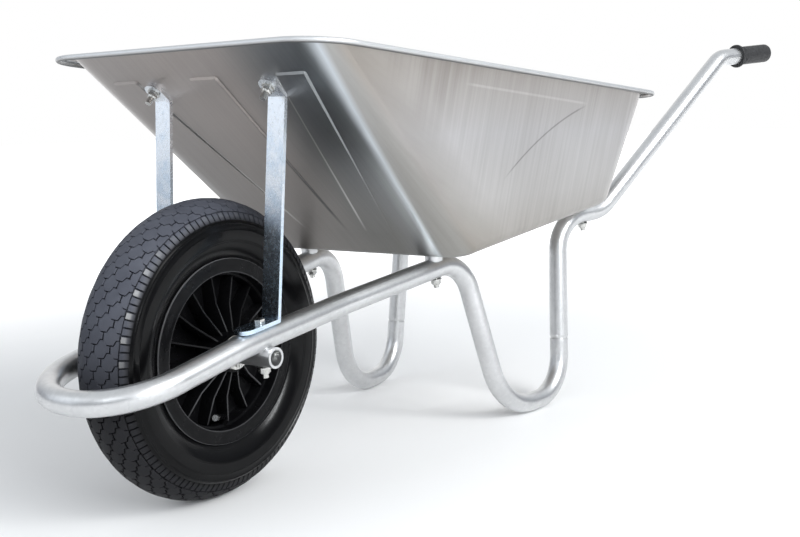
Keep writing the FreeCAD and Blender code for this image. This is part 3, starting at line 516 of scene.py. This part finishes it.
past_side = maths(tree, "MAXIMUM", past_side, 0.0)
squares = maths(tree, "ADD", maths(tree, "POWER", past_end, 2.0), maths(tree, "POWER", past_side, 2.0))
outward = maths(tree, "POWER", squares, 0.5)
on_roll = remap(tree, outward, RIM_CORNER_R + 0.0098, RIM_CORNER_R + 0.0108, 0.0, 1.0)
on_rim = maths(tree, "MULTIPLY", on_roll, remap(tree, below_rim, ROLL_DEPTH, 0.0080, 1.0, 0.0))
# Painted highlight over the top of the roll, painted shade on its lower part.
rim_painted_light = tones(tree, remap(tree, below_rim, 0.0, ROLL_DEPTH, 0.0, 1.0),
                 (0.0, (0.66, 0.67, 0.68)), (0.50, (0.74, 0.75, 0.76)),
                 (0.72, (0.46, 0.46, 0.46)), (0.90, (0.20, 0.20, 0.20)))
tree.links.new(blend_colour(tree, "MIX", on_rim, walls, rim_painted_light), shader.inputs["Base Color"])
satin = remap(tree, clouds, 0.3, 0.7, 0.39, 0.34)
tree.links.new(maths(tree, "ADD", satin, maths(tree, "MULTIPLY", on_rim, 0.12)), shader.inputs["Roughness"])
dents(tree, shader, noise(tree, where, 300.0), 0.0001, 0.25)
dress(sheet_zinc, "pan")
print("sheet finish on", sheet_zinc.name)

# %% [markdown]
# The two stays are cut from bright-plated flat bar. Plating that thin is mirror-like and a
# little blue, and it has gone grey in blotches. Its colour is also painted paler towards the
# top, a painted reflection, so the grey blotches gather near the foot.

# %% Bright zinc strap
strap_zinc, tree, shader, where = finish("strap_zinc", 1.0, 0.22)
foot_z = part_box("stay_left")[0].z
top_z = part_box("stay_left")[1].z
blotches = noise(tree, where, 34.0, 6.0, 0.7)
specks = noise(tree, where, 170.0, 5.0, 0.75)
up_the_stay = remap(tree, measured(tree, where, (0, 0, foot_z), (0, 0, 1)), 0.0, top_z - foot_z, 0.0, 1.0)
# Painted reflection: height up the stay lifts the colour towards the top.
blotches_with_reflection = maths(tree, "ADD", blotches, maths(tree, "MULTIPLY", up_the_stay, 0.5))
fresh_with_reflection = remap(tree, blotches_with_reflection, 0.50, 0.90, 0.0, 1.0)
base = tones(tree, fresh_with_reflection, (0.0, (0.60, 0.73, 0.86)), (0.6, (0.70, 0.78, 0.87)), (1.0, (0.86, 0.89, 0.93)))
spots = tones(tree, specks, (0.34, (0.80, 0.82, 0.85)), (0.46, (1.0, 1.0, 1.0)))
tree.links.new(blend_colour(tree, "MULTIPLY", 0.7, base, spots), shader.inputs["Base Color"])
tree.links.new(remap(tree, specks, 0.3, 0.7, 0.32, 0.18), shader.inputs["Roughness"])
dents(tree, shader, noise(tree, where, 220.0), 0.0001, 0.3)
dress(strap_zinc, "stay_left", "stay_right")
print("strap finish on", strap_zinc.name)

# %% [markdown]
# Bolts, washers and nuts are plated too, but greyer and cloudier than the stays.

# %% Bright fasteners
bright_zinc, tree, shader, where = finish("bright_zinc", 1.0, 0.22)
clouds = noise(tree, where, 120.0, 4.0)
grey = tones(tree, clouds, (0.3, (0.42, 0.42, 0.41)), (0.65, (0.66, 0.655, 0.63)))
tree.links.new(grey, shader.inputs["Base Color"])
tree.links.new(remap(tree, clouds, 0.3, 0.7, 0.34, 0.18), shader.inputs["Roughness"])
dents(tree, shader, noise(tree, where, 500.0), 0.0001, 0.4)
dress(bright_zinc, "pan_bolts", "pan_washers", "pan_nuts",
      "stay_top_bolts", "stay_top_washers", "stay_top_nuts",
      "axle_bolts", "axle_bolt_washers", "axle_bolt_nuts", "wheel_washers", "split_pins", "valve_cap")
print("fastener finish on", bright_zinc.name)

# %% [markdown]
# The tyre is black at the sides. Dry dust greys the tread. The half of the tread that is
# behind and below when the barrow stands is painted near black, a painted shade. The lugs
# are rubbed paler, and in each step of the tread one lug near the front has a painted
# highlight on its inner end.

# %% Tyre rubber
tyre_rubber, tree, shader, where = finish("tyre_rubber", 0.0, 0.55, Specular_IOR_Level=0.15)
clouds = noise(tree, where, 30.0, 4.0)


def around_axle(tree, where):
    """How far a point lies from the line of the axle, and how far from its middle."""
    from_axle = add_node(tree, "ShaderNodeVectorMath", operation="SUBTRACT")
    from_axle.inputs[1].default_value = axle
    across = add_node(tree, "ShaderNodeVectorMath", operation="MULTIPLY")
    across.inputs[1].default_value = (1.0, 0.0, 1.0)
    radius = add_node(tree, "ShaderNodeVectorMath", operation="LENGTH")
    tree.links.new(where, from_axle.inputs[0])
    tree.links.new(from_axle.outputs[0], across.inputs[0])
    tree.links.new(across.outputs[0], radius.inputs[0])
    return radius.outputs["Value"], maths(tree, "ABSOLUTE", measured(tree, where, axle, (0, 1, 0)))


TREAD_STEPS = 39            # how often the tread's pattern repeats round the wheel
LIT_LUG = 0.60             # where in each step the brightest lug stands
radius, sideways = around_axle(tree, where)
LIT_SIDE_WAY = (0.574, 0, 0.819)
FRONT_WAY = (0.927, 0, 0.375)
above_axle = measured(tree, where, axle, (0, 0, 1))
before_axle = measured(tree, where, axle, (1, 0, 0))
round_angle = maths(tree, "ARCTAN2", above_axle, before_axle)
step_share = maths(tree, "FRACT", maths(tree, "MULTIPLY", round_angle, TREAD_STEPS / math.tau))
off_lug = maths(tree, "ABSOLUTE", maths(tree, "SUBTRACT", step_share, LIT_LUG))
lug_inner_end = maths(tree, "MULTIPLY", remap(tree, sideways, 0.0335, 0.0345, 0.0, 1.0),
                      remap(tree, sideways, 0.0372, 0.0385, 1.0, 0.0))
near_front = remap(tree, measured(tree, where, axle, FRONT_WAY), 0.140, 0.168, 0.12, 1.0)
# Painted highlight on one lug's inner end in each step, near the front.
lug_highlight = maths(tree, "MULTIPLY", remap(tree, off_lug, 0.11, 0.15, 1.0, 0.0), lug_inner_end)
lug_highlight = maths(tree, "MULTIPLY", lug_highlight, near_front)
worn = remap(tree, radius, 0.163, 0.170, 0.0, 1.0)
on_lugs = remap(tree, sideways, 0.036, 0.040, 0.0, 1.0)
black = tones(tree, clouds, (0.3, (0.0018, 0.0018, 0.002)), (0.7, (0.003, 0.003, 0.0034)))
dust_and_painted_light = tones(tree, clouds, (0.3, (0.058, 0.062, 0.078)), (0.7, (0.080, 0.085, 0.104)))
dust_and_painted_light = blend_colour(tree, "MIX", on_lugs, dust_and_painted_light, (0.13, 0.132, 0.15, 1.0))
dust_and_painted_light = blend_colour(tree, "MIX", lug_highlight, dust_and_painted_light, (0.27, 0.27, 0.275, 1.0))
# Painted shade: the tread fades to near black away from the front and top.
painted_lit_side = remap(tree, measured(tree, where, axle, LIT_SIDE_WAY), 0.0665, 0.1615, 0.0, 1.0)
dust_and_painted_light = blend_colour(tree, "MIX", painted_lit_side, (0.014, 0.014, 0.016, 1.0), dust_and_painted_light)
tree.links.new(blend_colour(tree, "MIX", worn, black, dust_and_painted_light), shader.inputs["Base Color"])
gloss = remap(tree, worn, 0.0, 1.0, 0.20, 0.62)
cloudy = remap(tree, clouds, 0.3, 0.7, 0.05, -0.05)
tree.links.new(maths(tree, "ADD", gloss, cloudy), shader.inputs["Roughness"])
dents(tree, shader, noise(tree, where, 600.0), 0.00008, 0.4)
dress(tyre_rubber, "tyre", "inner_tube", "valve_stem")
print("rubber finish on", tyre_rubber.name)

# %% [markdown]
# Painted highlights grey the black plastic on the two lips of the flange and on the edges of
# the ribs. They are uneven on the ribs, and faintest on those of the upper front.

# %% Moulded black plastic
wheel_plastic, tree, shader, where = finish("wheel_plastic", 0.0, 0.3, Specular_IOR_Level=0.1)
clouds = noise(tree, where, 60.0, 4.0)
black = tones(tree, clouds, (0.3, (0.0025, 0.0025, 0.003)), (0.7, (0.005, 0.005, 0.0055)))
radius, sideways = around_axle(tree, where)
# Painted highlights on the two lips of the flange.
lip_highlights = tones(tree, remap(tree, radius, 0.097, 0.117, 0.0, 1.0),
             (0.082, (0, 0, 0)), (0.10, (0.35, 0.35, 0.35)), (0.13, (0.35, 0.35, 0.35)), (0.17, (0, 0, 0)),
             (0.93, (0, 0, 0)), (0.96, (1, 1, 1)))
rib_top = tones(tree, remap(tree, radius, 0.024, 0.096, 0.0, 1.0),
                (0.0, (0.95, 0.95, 0.95)), (0.5, (0.60, 0.60, 0.60)), (1.0, (0.512, 0.512, 0.512)))
above = maths(tree, "SUBTRACT", maths(tree, "MULTIPLY", sideways, 25.0), rib_top)
off_barrel = remap(tree, radius, 0.0925, 0.0935, 1.0, 0.0)
off_hub = remap(tree, radius, 0.0256, 0.0262, 0.0, 1.0)
between_ends = maths(tree, "MULTIPLY", off_barrel, off_hub)
# Painted highlights on the rib edges: uneven, and faintest at the upper front.
on_rib = maths(tree, "MULTIPLY", remap(tree, above, -0.022, -0.006, 0.0, 0.35), between_ends)
rib_highlight_share = remap(tree, noise(tree, where, 9.0, 1.0), 0.47, 0.58, 0.05, 1.0)
UPPER_FRONT_WAY = (0.819, 0, 0.574)
upper_front = measured(tree, where, axle, UPPER_FRONT_WAY)
rib_highlight_share = maths(tree, "MULTIPLY", rib_highlight_share, remap(tree, upper_front, 0.015, 0.035, 1.0, 0.12))
rib_highlights = maths(tree, "MULTIPLY", on_rib, rib_highlight_share)
plastic_highlights = maths(tree, "MAXIMUM", maths(tree, "MULTIPLY", lip_highlights, 0.7), rib_highlights)
black_with_highlights = blend_colour(tree, "MIX", plastic_highlights, black, (0.16, 0.16, 0.165, 1.0))
tree.links.new(black_with_highlights, shader.inputs["Base Color"])
tree.links.new(remap(tree, clouds, 0.3, 0.7, 0.36, 0.24), shader.inputs["Roughness"])
dents(tree, shader, noise(tree, where, 900.0), 0.00006, 0.4)
dress(wheel_plastic, "wheel_centre")
print("plastic finish on", wheel_plastic.name)

# %% [markdown]
# The grips are matt black rubber with a skin of tiny pebbles. The bushes are cream nylon.

# %% Grips and bushes
grip_rubber, tree, shader, where = finish("grip_rubber", 0.0, 0.5)
pebbles = cells(tree, where, 500.0)
pebble_tone = tones(tree, pebbles, (0.0, (0.012, 0.012, 0.013)), (1.0, (0.026, 0.026, 0.028)))
tree.links.new(pebble_tone, shader.inputs["Base Color"])
tree.links.new(remap(tree, pebbles, 0.0, 1.0, 0.6, 0.45), shader.inputs["Roughness"])
dents(tree, shader, pebbles, 0.0002, 0.5)
dress(grip_rubber, "grip_left", "grip_right")

nylon, tree, shader, where = finish("nylon", 0.0, 0.45)
clouds = noise(tree, where, 90.0, 3.0)
cream = tones(tree, clouds, (0.3, (0.66, 0.64, 0.58)), (0.7, (0.76, 0.74, 0.69)))
tree.links.new(cream, shader.inputs["Base Color"])
dents(tree, shader, noise(tree, where, 500.0), 0.0001, 0.3)
dress(nylon, "hub_bushes")
print("finishes on the grips and the bushes:", grip_rubber.name, nylon.name)

# %% [markdown]
# New pieces are shaped in edit mode, as by hand. Faces are picked by where they are or
# which way they face, so the helpers here only select, and the tools do the work.

# %% Modelling helpers
MM = 0.001


def only(piece):
    bpy.ops.object.select_all(action="DESELECT")
    piece.select_set(True)
    bpy.context.view_layer.objects.active = piece


def start_editing(piece):
    only(piece)
    bpy.ops.object.mode_set(mode="EDIT")


def stop_editing():
    bpy.ops.object.mode_set(mode="OBJECT")


def pick(piece, kind, wanted):
    """Selects the faces, edges or corners (kind) for which wanted(element) is true."""
    bpy.ops.mesh.select_mode(type={"faces": "FACE", "edges": "EDGE", "verts": "VERT"}[kind])
    bpy.ops.mesh.select_all(action="DESELECT")
    mesh = bmesh.from_edit_mesh(piece.data)
    mesh.normal_update()
    count = 0
    for element in getattr(mesh, kind):
        if wanted(element):
            element.select_set(True)
            count += 1
    mesh.select_flush_mode()
    bmesh.update_edit_mesh(piece.data)
    return count


def facing(x=0, y=0, z=0, least=0.9):
    """A test for faces that look along a direction."""
    direction = Vector((x, y, z))
    return lambda face: face.normal.dot(direction) > least


def push(x=0.0, y=0.0, z=0.0):
    bpy.ops.mesh.extrude_region_move(TRANSFORM_OT_translate={"value": (x, y, z)})


def block(name, low, high):
    """A cube stretched between two corners, the start of a modelled piece."""
    low, high = Vector(low), Vector(high)
    bpy.ops.object.select_all(action="DESELECT")
    bpy.ops.mesh.primitive_cube_add(size=1.0, location=(low + high) / 2, scale=high - low)
    piece = bpy.context.object
    piece.name = name
    bpy.ops.object.transform_apply(location=True, rotation=True, scale=True)
    return piece


def change(piece, kind, **settings):
    """Adds a modifier and applies it at once."""
    only(piece)
    modifier = piece.modifiers.new(kind.title(), kind)
    for setting, value in settings.items():
        setattr(modifier, setting, value)
    bpy.ops.object.modifier_apply(modifier=modifier.name)


def turned(name, outline, steps, centre, closed=False):
    """Spins an outline of (radius, sideways) corners once round a line along Y."""
    bpy.ops.object.select_all(action="DESELECT")
    first = Vector((outline[0][0], outline[0][1], 0))
    bpy.ops.mesh.primitive_plane_add(size=0.001, location=centre + Vector((first.x, first.y, 0)))
    piece = bpy.context.object
    piece.name = name
    bpy.ops.object.transform_apply(location=True, rotation=True, scale=True)
    start_editing(piece)
    bpy.ops.mesh.select_mode(type="VERT")
    bpy.ops.mesh.select_all(action="SELECT")
    bpy.ops.mesh.merge(type="CENTER")
    here = outline[0]
    for there in outline[1:] + ([outline[0]] if closed else []):
        push(there[0] - here[0], there[1] - here[1], 0)
        here = there
    bpy.ops.mesh.select_all(action="SELECT")
    bpy.ops.mesh.spin(steps=steps, angle=math.tau, center=centre, axis=(0, 1, 0))
    bpy.ops.mesh.select_all(action="SELECT")
    bpy.ops.mesh.remove_doubles(threshold=0.00001)
    bpy.ops.mesh.select_all(action="SELECT")
    bpy.ops.mesh.normals_make_consistent(inside=False)
    stop_editing()
    return piece


def smooth(piece, degrees=30.0):
    only(piece)
    bpy.ops.object.shade_smooth_by_angle(angle=math.radians(degrees))


def hand_in(piece, body, slot, material, *stands_for):
    """Gives a finished piece its material and body, and hides the plain nodes it stands for. The slot is
    not used.
    """
    piece.data.materials.clear()
    piece.data.materials.append(material)
    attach(piece, body)
    if stands_for:
        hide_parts(*stands_for)
    print(piece.name, "faces:", len(piece.data.polygons))


print("modelling helpers ready")

# %% [markdown]
# The tyre's tread is a field of cross-shaped blocks, each row set half a step on from the
# last, with three broad lugs to a step on each shoulder. Carving grooves into a ring is slow
# and ragged. It is easier to lay one step of the tread out flat, repeat it, and then bend
# the strip twice: once over the crown and once round the wheel.

# %% One tread block
tread_step = math.tau * tyre_radius / TREAD_STEPS
CROWN_R = 44 * MM           # the tread's curve from shoulder to shoulder
GROOVE_W = 1.6 * MM
BLOCK_DEPTH = 5.2 * MM
ROW_SPACING = 9.6 * MM
arm_end = tread_step / 2 - 2 * GROOVE_W - 1.9 * MM
block_middle = (4.2 * MM, 5.6 * MM)
block_arm = (arm_end, 3.0 * MM)
block_wing = (3.7 * MM, ROW_SPACING - GROOVE_W / 2)

tread = block("tread", (-block_middle[0], 0, -block_middle[1]),
              (block_middle[0], BLOCK_DEPTH, block_middle[1]))
start_editing(tread)
for way in (1, -1):
    pick(tread, "faces", facing(x=way))
    push(x=way * (block_arm[0] - block_middle[0]))
    bpy.ops.transform.resize(value=(1, 1, block_arm[1] / block_middle[1]),
                             center_override=(way * block_arm[0], 0, 0))
    pick(tread, "faces", lambda face: face.normal.z * way > 0.9
         and abs(face.calc_center_median().x) < 1 * MM)
    push(z=way * (block_wing[1] - block_middle[1]))
    bpy.ops.transform.resize(value=(block_wing[0] / block_middle[0], 1, 1),
                             center_override=(0, 0, way * block_wing[1]))
pick(tread, "faces", facing(y=-1))
bpy.ops.mesh.region_to_loop()
bpy.ops.mesh.bevel(offset=0.4 * MM, segments=1, affect="EDGES")
print("one block has", len(bmesh.from_edit_mesh(tread.data).faces), "faces")

# %% [markdown]
# The block is copied to its places in one step of the pattern. Blocks in the outermost row
# are cut off halfway where the shoulder starts.

# %% One step of the tread
half_step = tread_step / 2
places = [(0, row) for row in (-4, -2, 2, 4)] + [(half_step, row) for row in (-3, -1, 1, 3)]
bpy.ops.mesh.select_all(action="SELECT")
here = Vector((0, 0, 0))
for along, row in places:
    there = Vector((along, 0, row * ROW_SPACING))
    bpy.ops.mesh.duplicate_move(TRANSFORM_OT_translate={"value": there - here})
    here = there
shoulder_start = 4 * ROW_SPACING
for way in (1, -1):
    bpy.ops.mesh.select_all(action="SELECT")
    bpy.ops.mesh.bisect(plane_co=(0, 0, way * shoulder_start), plane_no=(0, 0, way),
                        use_fill=True, clear_outer=True)
stop_editing()
print("tread blocks in one step:", 1 + len(places))

# %% [markdown]
# A lug starts as a short block beside the tread and is pulled out over the shoulder in two
# stretches. The last one drops towards the sidewall.

# %% The shoulder lugs
LUGS = 3
LUG_W = 8.2 * MM
LUG_FIRST, LUG_SECOND = 4 * MM, 5 * MM
lug_run = (shoulder_start + 1.2 * MM, 52.6 * MM)
lug_start = -half_step / 2 - (LUGS // 2) * tread_step / LUGS
lug = block("lug", (lug_start - LUG_W / 2, 0.2 * MM, lug_run[0]),
            (lug_start + LUG_W / 2, BLOCK_DEPTH, lug_run[0] + LUG_FIRST))
start_editing(lug)
pick(lug, "faces", facing(z=1))
push(z=LUG_SECOND)
push(z=lug_run[1] - lug_run[0] - LUG_FIRST - LUG_SECOND)
bpy.ops.transform.translate(value=(0, 0.7 * MM, 0))
pick(lug, "edges", lambda edge: all(vert.co.y < 2 * MM for vert in edge.verts)
     and abs(edge.verts[0].co.x - edge.verts[1].co.x) < 0.1 * MM)
bpy.ops.mesh.bevel(offset=0.45 * MM, segments=1, affect="EDGES")
stop_editing()
change(lug, "ARRAY", count=LUGS, use_relative_offset=False, use_constant_offset=True,
       constant_offset_displace=(tread_step / LUGS, 0, 0))
change(lug, "MIRROR", use_axis=(False, False, True))
bpy.ops.object.select_all(action="DESELECT")
lug.select_set(True)
tread.select_set(True)
bpy.context.view_layer.objects.active = tread
bpy.ops.object.join()
print("one step of tread has", len(tread.data.polygons), "faces")

# %% [markdown]
# A bend modifier turns a strip into an arc whose radius is the strip's length divided by
# the angle. So each angle is worked out from the strip's true length, and the surface that
# started at y = 0 ends up exactly on the outside of the tyre.

# %% Bend the tread round the wheel
def extent(piece, axis):
    values = [corner.co[axis] for corner in piece.data.vertices]
    return max(values) - min(values)


change(tread, "ARRAY", count=TREAD_STEPS, use_relative_offset=False, use_constant_offset=True,
       constant_offset_displace=(tread_step, 0, 0))
change(tread, "SIMPLE_DEFORM", deform_method="BEND", deform_axis="X", angle=extent(tread, 2) / CROWN_R)
middle = (max(c.co.x for c in tread.data.vertices) + min(c.co.x for c in tread.data.vertices)) / 2
tread.location.x = -middle
only(tread)
bpy.ops.object.transform_apply(location=True, rotation=False, scale=False)
change(tread, "SIMPLE_DEFORM", deform_method="BEND", deform_axis="Z", angle=extent(tread, 0) / tyre_radius)
tread.rotation_euler.x = math.radians(90)
tread.location = axle - Vector((0, 0, tyre_radius))
only(tread)
bpy.ops.object.transform_apply(location=True, rotation=True, scale=True)
print("tread radius", round(extent(tread, 0) / 2, 4))

# %% [markdown]
# The carcass under the tread is a turned shape. Its outline is half a tyre section: low
# under the blocks, up over a fine ridge at the shoulder, down the sidewall with its moulded
# rings, round the bead that grips the rim, and back along the inside.

# %% Turn the carcass
SECTION_HALF_H, SECTION_HALF_W = 43 * MM, 44 * MM
section_r = tyre_radius - SECTION_HALF_H
GROOVE_DEPTH = 4.4 * MM
SIDEWALL_T = 6 * MM
RIM_FLANGE_R = 117.1 * MM
BEAD_R = 101.4 * MM
BEAD_Y = 32.6 * MM


def section(degrees, out=0.0):
    """A place on the tyre's outer oval, moved out by a given amount."""
    angle = math.radians(degrees)
    return (section_r + (SECTION_HALF_H + out) * math.cos(angle), (SECTION_HALF_W + out) * math.sin(angle))


def moulded_ring(degrees, height, width):
    """Four corners of a fine raised ring on the sidewall."""
    return [section(degrees - width), section(degrees - width * 0.5, height),
            section(degrees + width * 0.5, height), section(degrees + width)]


half_section = [section(a, -GROOVE_DEPTH) for a in range(0, 61, 6)]
half_section += [section(64, -2.4 * MM), section(68, -0.6 * MM)]
half_section += moulded_ring(72.5, 0.7 * MM, 1.4)
half_section += [section(77, -0.5 * MM), section(80, -0.4 * MM)]
half_section += moulded_ring(84, 0.5 * MM, 1.0)
half_section += [section(90, -0.1 * MM), section(96)]
half_section += moulded_ring(101, 0.35 * MM, 0.8) + moulded_ring(104, 0.35 * MM, 0.8)
half_section += [section(a) for a in (108, 112, 116, 120, 124, 127, 129.5)]
half_section += [(RIM_FLANGE_R, BEAD_Y + 0.6 * MM), (RIM_FLANGE_R - 1 * MM, BEAD_Y),
                 (BEAD_R, BEAD_Y), (BEAD_R, 22 * MM)]
half_section += [section(a, -SIDEWALL_T - (2 if a > 60 else 5) * MM) for a in range(118, -1, -13)]
half_section[-1] = (half_section[-1][0], 0.0)
carcass = turned("carcass", half_section, 160, axle)
change(carcass, "MIRROR", use_axis=(False, True, False), merge_threshold=0.00002)
only(carcass)
tread.select_set(True)
bpy.ops.object.join()
tyre = carcass
tyre.name = "tyre_with_tread"
smooth(tyre, 34)
hand_in(tyre, "wheel", "tyre_rubber", tyre_rubber, "tyre")

# %% [markdown]
# The wheel centre is one moulding: a hub, a thin web, a barrel with a small ledge, two
# flanges that hold the tyre, and sixteen ribs whose edges bend halfway out. The round parts
# share one outline, so they are turned together. A mould has no sharp edges: the lips are
# drawn round in the outline, and it is these that catch the light on black plastic.

# %% Turn the barrel and flanges
HUB_R, HUB_BORE_R, HUB_HALF_L = 25 * MM, 17 * MM, 46 * MM
BARREL_R, LEDGE_R, LEDGE_Y = 95 * MM, 98.5 * MM, 21 * MM
FLANGE_R, FLANGE_Y, FLANGE_T = 116.5 * MM, 36 * MM, 3 * MM
WEB_HALF_T = 3 * MM


def corner(radius, sideways, out_r, out_y, round_r):
    """Three points of the arc that faces (out_r, out_y). With a negative radius it is hollow."""
    centre_r, centre_y = radius - out_r * round_r, sideways - out_y * round_r
    reach = [(out_r, 0), (out_r * 0.7071, out_y * 0.7071), (0, out_y)]
    return [(centre_r + r * round_r, centre_y + y * round_r) for r, y in reach]


wheel_outline = [(HUB_BORE_R, 0), (HUB_BORE_R, HUB_HALF_L - 1 * MM), (HUB_BORE_R + 1 * MM, HUB_HALF_L)]
wheel_outline += corner(HUB_R, HUB_HALF_L, 1, 1, 1.5 * MM)[::-1]
wheel_outline += corner(HUB_R, WEB_HALF_T, 1, 1, 5 * MM)
wheel_outline += corner(BARREL_R, WEB_HALF_T, -1, 1, -6 * MM)[::-1]
wheel_outline += corner(BARREL_R, LEDGE_Y, -1, 1, 0.8 * MM)
wheel_outline += corner(LEDGE_R, LEDGE_Y, -1, 1, -0.8 * MM)[::-1]
wheel_outline += corner(LEDGE_R, FLANGE_Y, -1, 1, 1.4 * MM)
wheel_outline += [(108 * MM, FLANGE_Y - 0.5 * MM), (113.2 * MM, FLANGE_Y - 0.5 * MM)]
wheel_outline += corner(FLANGE_R, FLANGE_Y, 1, 1, 1.3 * MM)[::-1]
wheel_outline += [(FLANGE_R, FLANGE_Y - FLANGE_T + 0.8 * MM), (FLANGE_R - 0.8 * MM, FLANGE_Y - FLANGE_T),
                  (101 * MM, FLANGE_Y - FLANGE_T), (101 * MM, 0)]
wheel_outline = [(max(r, HUB_BORE_R), max(y, 0)) for r, y in wheel_outline]
moulding = turned("moulding", wheel_outline, 128, axle)
print("turned faces of the wheel centre:", len(moulding.data.polygons))

# %% [markdown]
# One rib is a thin block pulled out to the barrel in two steps, its upper edge lowered at
# each step, thinned towards that edge so it could leave the mould, and rounded along it.
# Only the left half is made: the mirror at the end gives the other half of the wheel.

# %% Shape one rib and copy it round
RIBS = 16
FIRST_RIB = math.radians(5.5)
RIB_T = 3.2 * MM
RIB_BEND_R = 60 * MM        # where the rib's edge bends
RIB_HUB_Y = 38 * MM         # how high the rib stands at the hub
RIB_FIRST_DROP, RIB_SECOND_DROP = 14 * MM, 3.5 * MM
rib = block("rib", (HUB_R - 1 * MM, 0, -RIB_T / 2), (RIB_BEND_R, RIB_HUB_Y, RIB_T / 2))
start_editing(rib)
pick(rib, "verts", lambda vert: vert.co.x > 50 * MM and vert.co.y > 1 * MM)
bpy.ops.transform.translate(value=(0, -RIB_FIRST_DROP, 0))
pick(rib, "faces", facing(x=1))
push(x=BARREL_R + 0.6 * MM - RIB_BEND_R)
pick(rib, "verts", lambda vert: vert.co.x > 90 * MM and vert.co.y > 1 * MM)
bpy.ops.transform.translate(value=(0, -RIB_SECOND_DROP, 0))
pick(rib, "verts", lambda vert: vert.co.y > 1 * MM)
bpy.ops.transform.resize(value=(1, 1, 0.7), center_override=(0, 0, 0))
pick(rib, "edges", lambda edge: all(vert.co.y > 1 * MM for vert in edge.verts)
     and abs(edge.verts[0].co.x - edge.verts[1].co.x) > 10 * MM)
bpy.ops.mesh.bevel(offset=0.7 * MM, segments=2, affect="EDGES")
pick(rib, "faces", facing(y=-1))
bpy.ops.mesh.delete(type="FACE")
stop_editing()
spokes = []
for k in range(RIBS):
    copy = rib.copy()
    copy.data = rib.data.copy()
    bpy.context.collection.objects.link(copy)
    copy.rotation_euler.y = FIRST_RIB + k * math.tau / RIBS
    copy.location = axle
    spokes.append(copy)
bpy.data.objects.remove(rib)
bpy.ops.object.select_all(action="DESELECT")
for spoke in spokes:
    spoke.select_set(True)
bpy.context.view_layer.objects.active = spokes[0]
bpy.ops.object.transform_apply(location=True, rotation=True, scale=True)
moulding.select_set(True)
bpy.context.view_layer.objects.active = moulding
bpy.ops.object.join()
change(moulding, "MIRROR", use_axis=(False, True, False), merge_threshold=0.00002)
moulding.name = "wheel_moulding"
smooth(moulding, 32)
hand_in(moulding, "wheel", "wheel_plastic", wheel_plastic, "wheel_centre")

# %% [markdown]
# A grip is a rubber sleeve with a round collar at its mouth and a closed, rounded end.
# It is turned upright along Y and then laid along the handle. Which way the handle points
# is given by a run, a rise and a splay; where the grip's mouth sits is read from the plain
# grip's own box: its collar touches three sides of that box.

# %% Turn the grips
GRIP_BORE_R, GRIP_R, COLLAR_R = 15.02 * MM, 16.6 * MM, 21 * MM
GRIP_L, COLLAR_T, GRIP_END_T = 84 * MM, 5 * MM, 6 * MM
GRIP_END_R = 5 * MM
GRIP_RUN, GRIP_RISE, GRIP_SPLAY = 128, 11, math.radians(22)
along_grip = Vector((-GRIP_RUN * math.cos(GRIP_SPLAY), GRIP_RUN * math.sin(GRIP_SPLAY), GRIP_RISE))
along_grip.normalize()
grip_outline = [(0, GRIP_L - GRIP_END_T), (GRIP_BORE_R, GRIP_L - GRIP_END_T), (GRIP_BORE_R, 0.6 * MM),
                (GRIP_BORE_R + 0.6 * MM, 0)]
grip_outline += corner(COLLAR_R, 0, 1, -1, 1.6 * MM)[::-1]
grip_outline += corner(COLLAR_R, COLLAR_T, 1, 1, 1.6 * MM)
grip_outline += [(GRIP_R + 1.2 * MM, COLLAR_T + 0.2 * MM), (GRIP_R, COLLAR_T + 1.6 * MM)]
for k in range(3):
    start = 10 * MM + k * 2.4 * MM
    grip_outline += [(GRIP_R, start), (GRIP_R - 0.5 * MM, start + 0.5 * MM),
                     (GRIP_R - 0.5 * MM, start + 1.1 * MM), (GRIP_R, start + 1.6 * MM)]
grip_outline += [(GRIP_R, y * MM) for y in (30, 45, 60, 70)]
for degrees in range(0, 91, 15):
    angle = math.radians(degrees)
    grip_outline.append((GRIP_R - GRIP_END_R * (1 - math.cos(angle)),
                         GRIP_L - GRIP_END_R * (1 - math.sin(angle))))
grip_outline.append((0, GRIP_L))
plain_low, plain_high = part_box("grip_left")
reach = [COLLAR_R * math.sqrt(1 - part ** 2) for part in along_grip]
grip_mouth = Vector((plain_high.x - reach[0], plain_low.y + reach[1], plain_low.z + reach[2]))
for side_name, way in (("left", 1), ("right", -1)):
    grip = turned("rubber_grip_" + side_name, grip_outline, 48, Vector((0, 0, 0)))
    facing_back = Vector((along_grip.x, along_grip.y * way, along_grip.z))
    grip.rotation_euler = Vector((0, 1, 0)).rotation_difference(facing_back).to_euler()
    grip.location = Vector((grip_mouth.x, grip_mouth.y * way, grip_mouth.z))
    only(grip)
    bpy.ops.object.transform_apply(location=True, rotation=True, scale=True)
    smooth(grip, 40)
    hand_in(grip, "barrow", "grip_rubber", grip_rubber, "grip_" + side_name)
